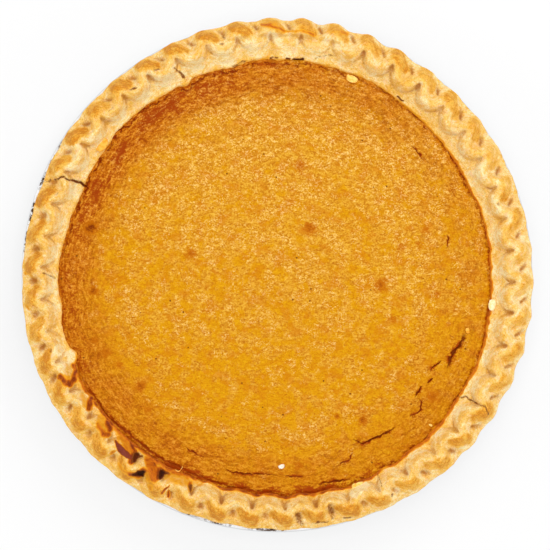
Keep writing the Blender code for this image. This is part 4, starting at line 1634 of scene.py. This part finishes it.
@dataclass
class CustardFilling:
    """Baked custard: one solid with a cracked, blistered and grainy top."""

    form: CustardForm = CUSTARD
    rim: RimForm = RIM
    cells_across: int = 270
    gap: float = 0.12 * MM
    body_depth: float = 25.0 * MM
    fine_reaches: tuple = (1.6 * MM, 0.8 * MM)
    tear_step: float = 1.8 * MM
    tear_sway: float = 0.32 * MM
    border_dip: float = 0.9 * MM
    per_degree: float = 1.8 * MM
    ridge_stretch: float = 0.3
    # Slope of the painted sheen across the plan, by X and Y.
    painted_glint_slope: tuple = (0.2, 1.1)
    blister_sink: float = 0.3 * MM
    blister_lip: float = 0.12 * MM
    tear_lip: float = 0.18 * MM
    blisters: tuple = table(
        Blister,
        (49.6, -3.8, 3.1, 0.5), (15.8, 23.2, 2.7, 0.6),
        (10.9, 53.2, 3.0, 0.48), (-41.5, 11.0, 2.6, 0.48),
        (-89.0, 23.2, 2.6, 1.0), (-87.7, -6.7, 2.5, 0.6),
        (55.5, -20.1, 2.4, 0.34), (76.8, -8.4, 2.2, 0.36),
        (71.4, 22.4, 2.1, 0.36), (59.7, 14.0, 2.4, 0.34),
        (67.6, 15.7, 1.7, 0.34), (74.7, -56.9, 3.2, 0.46),
        (40.9, -68.6, 2.2, 0.66), (28.5, -66.7, 1.2, 0.66),
        (-65.1, -52.7, 2.4, 0.66), (-61.4, -63.5, 1.9, 0.46),
        (-81.9, -36.0, 2.5, 0.48), (-75.1, -42.2, 1.9, 0.46),
        (-86.9, -30.1, 1.9, 0.46), (10.6, -90.9, 2.2, 0.45))
    tears: tuple = table(
        Tear,
        (((89.8, -27.6), (86.9, -33.5), (84.7, -36.0), (82.8, -39.3), (81.4, -43.8)),
         1.2, 1.2),
        (((78.4, -39.7), (77.3, -41.5), (74.8, -43.0), (73.3, -46.0)), 0.5, 0.5),
        (((74.4, -48.5), (71.8, -51.1)), 0.5, 0.6),
        (((69.9, -52.3), (67.9, -54.6), (66.3, -57.7)), 0.65, 0.8),
        (((67.0, -57.9), (69.2, -60.4), (68.6, -63.5), (63.0, -67.7)), 0.3, 0.4),
        (((56.7, -71.9), (49.2, -76.1), (41.7, -79.9), (36.7, -78.2)), 0.65, 1.0),
        (((36.2, -82.8), (35.0, -87.0), (28.9, -90.3)), 0.32, 0.5),
        (((34.8, -96.5), (24.6, -98.0), (19.4, -99.1)), 0.5, 0.7),
        (((3.3, -94.7), (7.5, -95.4), (12.8, -95.8)), 0.36, 0.5),
        (((-1.0, -94.5), (-21.7, -93.7), (-25.0, -91.6)), 0.42, 0.6),
        (((-35.9, -86.1), (-43.4, -81.6)), 0.3, 0.4),
        (((-96.5, -42.7), (-80.2, -67.7), (-65.1, -79.5), (-56.8, -86.1), (-40.9, -93.7),
          (-23.3, -100.3), (-1.0, -103.0)), 0.6, 0.4, 0.45),
        (((64.1, 62.9), (66.6, 59.9), (70.5, 55.6)), 0.3, 0.4),
        (((81.2, 20.1), (81.8, 16.7), (81.2, 13.5)), 0.3, 0.4),
        (((-92.7, 43.8), (-90.4, 42.6)), 0.55, 0.7))
    rusty_bands: tuple = (
        (280.0, 352.0, 7.0, 4.4, 0.8), (240.0, 290.0, 5.5, 3.4, 0.35),
        (288.0, 345.0, 2.4, 1.6, 0.6), (212.0, 262.0, 1.6, 1.6, 0.7),
        (150.0, 212.0, 1.6, 2.2, 1.1), (108.0, 150.0, 0.8, 1.2, 0.5),
        (40.0, 112.0, 0.5, 0.9, 0.75), (345.0, 380.0, 3.3, 1.2, 0.6),
        (62.0, 80.0, 7.0, 1.6, 0.3))
    line_away: tuple = ((0, 2.5), (30, 1.4), (60, 0.8), (120, 0.8), (180, 1.0), (220, 1.4),
                        (270, 1.6), (300, 1.6), (340, 2.2))
    lined_by_bearing: tuple = ((0, 1.1), (30, 0.9), (60, 1.2), (84, 0.8), (98, 0.5), (112, 0.8),
                               (135, 0.9), (165, 1.0), (200, 0.5), (235, 0.5), (262, 0.5),
                               (300, 1.6), (345, 1.3))
    tan_by_bearing: tuple = ((22, 0.74), (67, 0.4), (100, 0.36), (125, 0.48), (157, 0.54),
                             (202, 0.76), (247, 0.82), (292, 1.0), (337, 1.16))

    def disc_plan(self, square: np.ndarray) -> tuple[np.ndarray, np.ndarray]:
        """Turn the cells of a square into those of a disc, ring by ring.

        Args:
            square: points of a square from -1 to 1 each way.

        Returns:
            The bearing of each point, and its share of the way to the edge.
        """
        x, y = square.T
        share = np.maximum(np.abs(x), np.abs(y))
        lying = np.abs(x) >= np.abs(y)
        ratio = np.where(lying, y / np.where(x == 0, 1.0, x), x / np.where(y == 0, 1.0, y))
        east = np.where(x >= 0, 90.0, 270.0) - 45.0 * ratio
        north = np.where(y >= 0, 0.0, 180.0) + 45.0 * ratio
        return np.mod(np.where(lying, east, north), FULL_TURN), share

    def torn_path(self, tear: Tear, seed: int) -> np.ndarray:
        """A tear's path with small wanderings added between its corners."""
        corners = np.array(tear.path) * MM
        rng = np.random.default_rng(seed)
        points = [corners[0]]
        for start, end in zip(corners, corners[1:]):
            run = float(np.linalg.norm(end - start))
            pieces = max(2, int(run / self.tear_step))
            side = np.array((start[1] - end[1], end[0] - start[0])) / run
            for step in range(1, pieces + 1):
                sway = self.tear_sway * rng.uniform(-1.0, 1.0) if step < pieces else 0.0
                points.append(start + (end - start) * step / pieces + side * sway)
        return np.array(points)

    def build(self) -> bpy.types.Object:
        """Model the custard.

        Returns:
            The finished mesh, without its material.
        """
        put_down()
        bpy.ops.mesh.primitive_grid_add(x_subdivisions=self.cells_across,
                                        y_subdivisions=self.cells_across, size=2.0,
                                        location=(0.0, 0.0, 0.0))
        piece = named("custard_filling")
        square = read_points(piece)[:, :2]
        bearings, share = self.disc_plan(square)
        edge = self.rim.inner_radius(bearings) - self.gap
        plan = plan_points(bearings, edge * share)
        paths = [self.torn_path(tear, number) for number, tear in enumerate(self.tears)]
        places = np.column_stack((plan, np.zeros(len(plan))))
        move_points(piece, places)
        self.refine(piece, paths)
        self.add_body(piece)
        self.raise_top(piece, paths)
        return rounded(piece)

    def refine(self, piece: bpy.types.Object, paths: Sequence[np.ndarray]) -> None:
        """Subdivide the faces along the tears, so that these can be narrow."""
        take_up(piece)
        for reach in self.fine_reaches:
            bpy.ops.object.mode_set(mode="EDIT")
            bpy.ops.mesh.select_mode(type="FACE")
            bpy.ops.mesh.select_all(action="DESELECT")
            bpy.ops.object.mode_set(mode="OBJECT")
            count = len(piece.data.polygons)
            centres = np.empty(count * 3)
            piece.data.polygons.foreach_get("center", centres)
            middles = centres.reshape(-1, 3)[:, :2]
            near = np.zeros(count, dtype=bool)
            for path in paths:
                near |= distance_to_path(middles, path)[0] < reach
            piece.data.polygons.foreach_set("select", near)
            bpy.ops.object.mode_set(mode="EDIT")
            bpy.ops.mesh.subdivide(number_cuts=1)
            bpy.ops.object.mode_set(mode="OBJECT")

    def add_body(self, piece: bpy.types.Object) -> None:
        """Extrude the top's edge down to the floor and close it there."""
        take_up(piece)
        bpy.ops.object.mode_set(mode="EDIT")
        bpy.ops.mesh.select_mode(type="EDGE")
        bpy.ops.mesh.select_all(action="DESELECT")
        bpy.ops.mesh.select_non_manifold()
        down = {"value": (0.0, 0.0, -self.body_depth)}
        bpy.ops.mesh.extrude_region_move(TRANSFORM_OT_translate=down)
        shrink = self.form.floor_radius / self.rim.inner_edge[0][1]
        bpy.ops.transform.resize(value=(shrink, shrink, 1.0), center_override=(0.0, 0.0, 0.0))
        bpy.ops.mesh.edge_face_add()
        bpy.ops.mesh.poke()
        turn_outwards()
        bpy.ops.object.mode_set(mode="OBJECT")

    def survey(self, plan: np.ndarray) -> None:
        """Measure what the top's relief and paint depend on, at each point of the plan."""
        self.plan = plan
        self.bearings = np.mod(np.degrees(np.arctan2(plan[:, 0], plan[:, 1])), FULL_TURN)
        self.radii = np.hypot(plan[:, 0], plan[:, 1])
        self.edge = self.rim.inner_radius(self.bearings)
        self.border = self.edge - self.radii
        self.frayed = self.border + bumps(plan, (0.9 * MM, 4.0, 56))
        round_edge = self.bearings * self.per_degree * self.ridge_stretch
        self.ridge = np.stack((round_edge, self.radii), axis=-1)

    def swell(self) -> np.ndarray:
        """Heights of the top before its blisters and tears."""
        heights = self.form.height(self.bearings, self.radii, self.edge)
        heights += MM * bumps(self.plan, (0.12, 14.0, 51), (0.07, 4.0, 52), (0.06, 1.6, 53),
                              (0.04, 0.9, 54))
        near_edge = 1.0 - rise(self.border, 9.0 * MM, 6.0 * MM)
        heights += bumps(self.ridge, (0.22 * MM, 1.7, 57)) * near_edge
        return heights - self.border_dip * (1.0 - smoothstep(self.frayed / (2.2 * MM)))

    def rusted(self) -> np.ndarray:
        """How rusty the custard is baked, in bands along the border."""
        rust = np.zeros(len(self.plan))
        patchy = shares(0.7 + bumps(self.ridge, (0.7, 3.4, 59)))
        for low, high, away, width, amount in self.rusty_bands:
            off_middle = np.abs(turned_from(self.bearings, (low + high) / 2.0))
            within = smoothstep((0.5 * (high - low) - off_middle) / 3.0 + 0.5)
            band = hump(self.frayed, away * MM, width * MM)
            rust = np.maximum(rust, amount * within * patchy * band)
        return rust

    def painted_glint_gathering(self) -> np.ndarray:
        """Painted highlight: how much the painted glints gather, up the picture and on an arc below
        the middle.
        """
        painted_sheen = (self.plan @ self.painted_glint_slope) + bumps(self.plan, (0.03, 16.0, 58))
        arc_share = hump(self.radii, 77.0 * MM, 4.5 * MM) * around(self.bearings, 180.0, 32.0)
        inland = smoothstep((36.0 * MM - self.border) / (22.0 * MM))
        return painted_sheen + (0.12 * arc_share - 0.045 * inland)

    def tanned_and_lit(self) -> np.ndarray:
        """How brown the custard is baked, from 0 to 1: most towards its edge, less where painted
        light offsets the rim's shade near bearing 0.
        """
        radii = self.radii
        level = closed_curve(self.bearings, self.tan_by_bearing)
        tan_and_painted_light = 0.2 * rise(radii, 62.0 * MM, 16.0 * MM)
        tan_and_painted_light += (level - 0.2) * rise(radii, 80.0 * MM, 15.0 * MM)
        tan_and_painted_light += bumps(self.plan, (0.12, 6.0, 55)) * rise(radii, 70.0 * MM, 15.0 * MM)
        tan_and_painted_light += 0.06 * smoothstep((radii - self.edge + 3.2 * MM) / (2.4 * MM))
        # Painted light: paler next to the rim near bearing 0, to offset the rim's shade there.
        tan_and_painted_light -= 0.4 * hump(self.border, 0.0, 2.2 * MM) * around(self.bearings, 2.0, 16.0)
        return shares(tan_and_painted_light)

    def blistered(self, heights: np.ndarray) -> np.ndarray:
        """Sink the blisters into the heights, and give how dark they make each point."""
        dark = np.zeros(len(self.plan))
        wobble = 1.0 + bumps(self.plan, (0.25, 1.3, 61))
        for spot in self.blisters:
            away = np.linalg.norm(self.plan - np.array((spot.x, spot.y)) * MM, axis=-1) * wobble
            away = away / (spot.radius * MM)
            heights -= self.blister_sink * hump(away, 0.0, 0.75) * (0.4 + spot.darkness)
            heights += self.blister_lip * hump(away, 1.25, 0.3) * (0.4 + spot.darkness)
            dark = np.maximum(dark, spot.darkness * np.exp(-(away ** 2)))
        return shares(dark)

    def torn(self, paths: Sequence[np.ndarray], heights: np.ndarray,
             rust: np.ndarray) -> np.ndarray:
        """Cut the tears into the heights, and brown their lips.

        Args:
            paths: the tears' paths.
            heights: height of each point, which is changed.
            rust: rust of each point, which is changed.

        Returns:
            How dark the tears make each point.
        """
        split = np.zeros(len(self.plan))
        jagged = self.plan + 0.4 * MM * warp(self.plan, 1.3 * MM, (63, 64))
        gape = np.clip(0.9 + bumps(self.plan, (0.6, 2.2, 62)), 0.3, 1.4)
        for tear, path in zip(self.tears, paths):
            away, along = distance_to_path(jagged, path)
            taper = shares(1.0 - np.abs(along * 2.0 - 1.0) ** 4)
            open_share = 0.3 + 0.7 * taper
            groove = shares(1.0 - away / (tear.width * MM * open_share * gape))
            heights -= 0.7 * tear.depth * MM * smoothstep(groove * 1.3) * open_share
            rust[:] = np.maximum(rust, 0.9 * hump(away / MM, 0.0, tear.width + 0.4) * taper)
            heights += self.tear_lip * hump(away / MM, tear.width + 0.5, 0.5) * taper
            dark = smoothstep(groove * 1.5) * (0.35 + 0.65 * taper) * tear.darkness
            split = np.maximum(split, dark)
        return shares(split)

    def raise_top(self, piece: bpy.types.Object, paths: Sequence[np.ndarray]) -> None:
        """Give the top its relief, and paint it.

        Args:
            piece: the flat disc with its body under it.
            paths: the tears' paths.
        """
        points = read_points(piece)
        top = points[:, 2] > -MM
        points[~top, 2] = self.form.floor_z
        self.survey(points[:, :2])
        heights, rust = self.swell(), self.rusted()
        paints = {"tan_and_painted_light": self.tanned_and_lit(), "blister": self.blistered(heights),
                  "split": self.torn(paths, heights, rust), "rust": rust, "painted_sheen": self.painted_glint_gathering(),
                  "border": self.border - closed_curve(self.bearings, self.line_away) * MM,
                  "lined": closed_curve(self.bearings, self.lined_by_bearing)}
        points[top, 2] = heights[top]
        move_points(piece, points)
        for name, amounts in paints.items():
            paint(piece, name, amounts)

    def dress(self, piece: bpy.types.Object) -> None:
        """Give the custard its finish and its place on the model."""
        piece.data.materials.append(BakedCustard().material())
        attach(piece, BODY)
        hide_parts("filling")


# ---------------------------------------------------------------- crumbs


class Crumb(NamedTuple):
    """A loose crumb or flake: its place, sizes and height over the custard in millimetres."""

    x: float
    y: float
    length: float
    width: float
    height: float
    turn: float
    lift: float = 0.0


@dataclass(frozen=True)
class DryPastry:
    """Pale, dry pastry, as on crumbs and flakes."""

    pale: Colour = shade(253, 232, 190)
    straw: Colour = shade(246, 211, 144)
    roughness: float = 0.7
    name: str = "dry_pastry"

    def material(self) -> bpy.types.Material:
        """Mix the crumbs' material.

        Returns:
            The material.
        """
        recipe = Recipe(self.name)
        mottle = recipe.noise(1.6 * MM, detail=3.0, roughness=0.6)
        colour = recipe.ramp(mottle, (0.4, self.straw), (0.56, self.pale))
        normal = recipe.relief((mottle, 0.4 * MM))
        return recipe.finished(colour, self.roughness, normal, Specular_IOR_Level=0.1)


@dataclass
class LooseCrumbs:
    """Crumbs of one kind, scattered where they fell."""

    name: str
    slot: str
    finish: DryPastry
    crumbs: tuple
    custard: CustardForm = CUSTARD
    rim: RimForm = RIM
    roughness: float = 0.28

    def build(self) -> bpy.types.Object:
        """Model the crumbs, each from its own ball, and join them.

        Returns:
            The finished mesh, without its material.
        """
        pieces = []
        for number, crumb in enumerate(self.crumbs):
            put_down()
            bearing = math.degrees(math.atan2(crumb.x, crumb.y))
            radius = math.hypot(crumb.x, crumb.y) * MM
            edge = float(self.rim.inner_radius(np.array([bearing]))[0])
            rest = float(self.custard.height(bearing, min(radius, edge), edge))
            centre = (crumb.x * MM, crumb.y * MM, rest + (0.3 * crumb.height + crumb.lift) * MM)
            bpy.ops.mesh.primitive_ico_sphere_add(subdivisions=4, radius=0.5 * MM,
                                                  location=(0.0, 0.0, 0.0))
            piece = named(self.name)
            points = read_points(piece) / MM
            squareness = (np.abs(points) ** 4).sum(axis=1, keepdims=True) ** 0.25
            points = points * (0.5 / squareness) ** 0.6 * 0.92
            for axis, (first, second) in enumerate(((1, 2), (2, 0), (0, 1))):
                coarse = Mottle(0.42, 500 + 10 * number + axis)
                fine = Mottle(0.17, 700 + 10 * number + axis)
                pair = points[:, [first, second]] + 3.0
                points[:, axis] *= 1.0 + self.roughness * (coarse.at(pair) + 0.4 * fine.at(pair))
            sizes = np.array((crumb.length, crumb.width, crumb.height)) * MM
            move_points(piece, points * sizes)
            bpy.ops.object.mode_set(mode="EDIT")
            bpy.ops.mesh.select_all(action="SELECT")
            bpy.ops.transform.rotate(value=math.radians(crumb.turn), orient_axis="Z",
                                     center_override=(0.0, 0.0, 0.0))
            bpy.ops.transform.translate(value=centre)
            bpy.ops.object.mode_set(mode="OBJECT")
            pieces.append(piece)
        put_down()
        for piece in pieces:
            piece.select_set(True)
        bpy.context.view_layer.objects.active = pieces[0]
        bpy.ops.object.join()
        bpy.ops.object.shade_smooth()
        pieces[0].name = self.name
        return pieces[0]

    def dress(self, piece: bpy.types.Object) -> None:
        """Give the crumbs their finish and their place on the model."""
        piece.data.materials.append(self.finish.material())
        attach(piece, BODY)


@dataclass
class BakedThread:
    """A curl of baked custard that stands up from the filling near its edge."""

    path: tuple = ((-48.8, -92.2, 30.2), (-48.1, -92.7, 30.8), (-47.3, -93.0, 31.1),
                   (-46.5, -92.9, 31.2), (-46.0, -92.3, 31.3), (-45.5, -91.5, 31.2),
                   (-44.8, -90.5, 30.6))
    thickness: float = 0.65 * MM
    finish: DryPastry = DryPastry(name="baked_thread", pale=shade(255, 206, 110),
                                  straw=shade(238, 150, 40))

    def build(self) -> bpy.types.Object:
        """Model the thread by extruding a small square along its path.

        Returns:
            The finished mesh, without its material.
        """
        put_down()
        stations = [tuple(value * MM for value in station) for station in self.path]
        bpy.ops.mesh.primitive_plane_add(size=self.thickness, location=stations[0],
                                         rotation=(0.0, math.pi / 2.0, 0.0))
        piece = named("baked_thread")
        bpy.ops.object.mode_set(mode="EDIT")
        bpy.ops.mesh.select_all(action="SELECT")
        for here, there in zip(stations, stations[1:]):
            step = tuple(after - before for before, after in zip(here, there))
            bpy.ops.mesh.extrude_region_move(TRANSFORM_OT_translate={"value": step})
        turn_outwards()
        take_up(piece)
        bpy.ops.object.modifier_add(type="SUBSURF")
        piece.modifiers[-1].levels = 2
        piece.modifiers[-1].render_levels = 2
        bpy.ops.object.modifier_apply(modifier=piece.modifiers[-1].name)
        bpy.ops.object.shade_smooth()
        return piece

    def dress(self, piece: bpy.types.Object) -> None:
        """Give the thread its finish and its place on the model."""
        piece.data.materials.append(self.finish.material())
        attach(piece, BODY)


FLAKES = (Crumb(35.8, 94.4, 5.6, 3.0, 0.8, 21.0, 0.4),
          Crumb(38.9, -100.0, 7.0, 3.6, 1.0, 159.0, 0.5),
          Crumb(73.4, -70.9, 1.6, 1.2, 0.8, 30.0, 0.3))
PALE_CRUMBS = (Crumb(102.7, -13.5, 5.6, 3.2, 2.0, 97.0, 0.6),)
WHITE_CRUMBS = (Crumb(2.2, -90.7, 3.0, 1.9, 1.3, -20.0, 0.3),)
CUSTARD_CRUMBS = (Crumb(-83.4, 62.9, 7.2, 3.9, 1.3, -53.0, 1.4),
                  Crumb(91.0, -25.8, 1.7, 2.7, 0.9, -10.0, 0.4))


# ---------------------------------------------------------------- studio


@dataclass
class Studio:
    """Plain pale floor, soft light and a camera straight above the pie."""

    frame_width: float = 262.1 * MM
    rim_z: float = 34.0 * MM
    camera_distance: float = 1.5
    camera_x: float = -0.94 * MM
    camera_y: float = 0.80 * MM
    sensor: float = 36.0
    floor_size: float = 8.0
    world_strength: float = 0.72
    lamps: tuple = (
        ("key_light", (0.35, 0.75, 0.95), 0.8, 5.1),
        ("fill_light", (-1.2, -0.2, 0.55), 1.0, 2.9),
        ("low_light", (0.85, -0.9, 0.5), 1.0, 2.9),
        ("top_light", (0.0, 0.0, 2.2), 1.0, 17.3))
    farthest_seen: float = 20.0

    def add_floor(self) -> None:
        """Lay the floor."""
        put_down()
        bpy.ops.mesh.primitive_plane_add(size=self.floor_size, location=(0.0, 0.0, 0.0))
        floor = named("floor")
        floor.data.materials.append(StudioFloor().material())

    def add_lamp(self, name: str, place: tuple[float, float, float], size: float,
                 power: float) -> None:
        """Hang one soft square light that faces the pie."""
        put_down()
        bpy.ops.object.light_add(type="AREA", location=place)
        lamp = bpy.context.object
        lamp.name = name
        lamp.data.size = size
        lamp.data.energy = power
        direction = -lamp.location
        lamp.rotation_euler = direction.to_track_quat("-Z", "Y").to_euler()

    def add_camera(self) -> None:
        """Set the camera straight above, with +Y at the top of the picture."""
        put_down()
        place = (self.camera_x, self.camera_y, self.rim_z + self.camera_distance)
        bpy.ops.object.camera_add(location=place, rotation=(0.0, 0.0, 0.0))
        camera = bpy.context.object
        camera.data.sensor_width = self.sensor
        camera.data.lens = self.sensor * self.camera_distance / self.frame_width
        camera.data.clip_end = self.farthest_seen
        bpy.context.scene.camera = camera

    def light_air(self) -> None:
        """Fill the room with even white light, and show colours as they are."""
        world = bpy.data.worlds.new("soft_room")
        world.use_nodes = True
        background = world.node_tree.nodes["Background"]
        background.inputs["Color"].default_value = (1.0, 1.0, 1.0, 1.0)
        background.inputs["Strength"].default_value = self.world_strength
        scene = bpy.context.scene
        scene.world = world
        scene.view_settings.view_transform = "Standard"

    def build(self) -> None:
        """Set up the whole studio."""
        self.add_floor()
        for name, place, size, power in self.lamps:
            self.add_lamp(name, place, size, power)
        self.add_camera()
        self.light_air()


def main() -> None:
    """Build and dress the tin, the pastry and the custard, and set up the studio."""
    logging.basicConfig(level=logging.INFO, format="%(name)s: %(message)s")
    for maker in (FoilTin(), PastryShell(), CustardFilling(), BakedThread(),
                  LooseCrumbs("pale_crumbs", "pastry", DryPastry(), PALE_CRUMBS),
                  LooseCrumbs("flakes", "pastry",
                              DryPastry(name="baked_flake", pale=shade(250, 204, 112),
                                        straw=shade(238, 176, 74)), FLAKES),
                  LooseCrumbs("white_crumb", "pastry",
                              DryPastry(name="white_pastry", pale=shade(242, 230, 214),
                                        straw=shade(228, 206, 178)), WHITE_CRUMBS),
                  LooseCrumbs("custard_crumb", "custard",
                              DryPastry(name="dried_custard", pale=shade(240, 180, 74),
                                        straw=shade(226, 150, 38)), CUSTARD_CRUMBS)):
        piece = maker.build()
        maker.dress(piece)
        log.info("%s has %d faces", piece.name, len(piece.data.polygons))
    Studio().build()


if __name__ == "__main__":
    main()
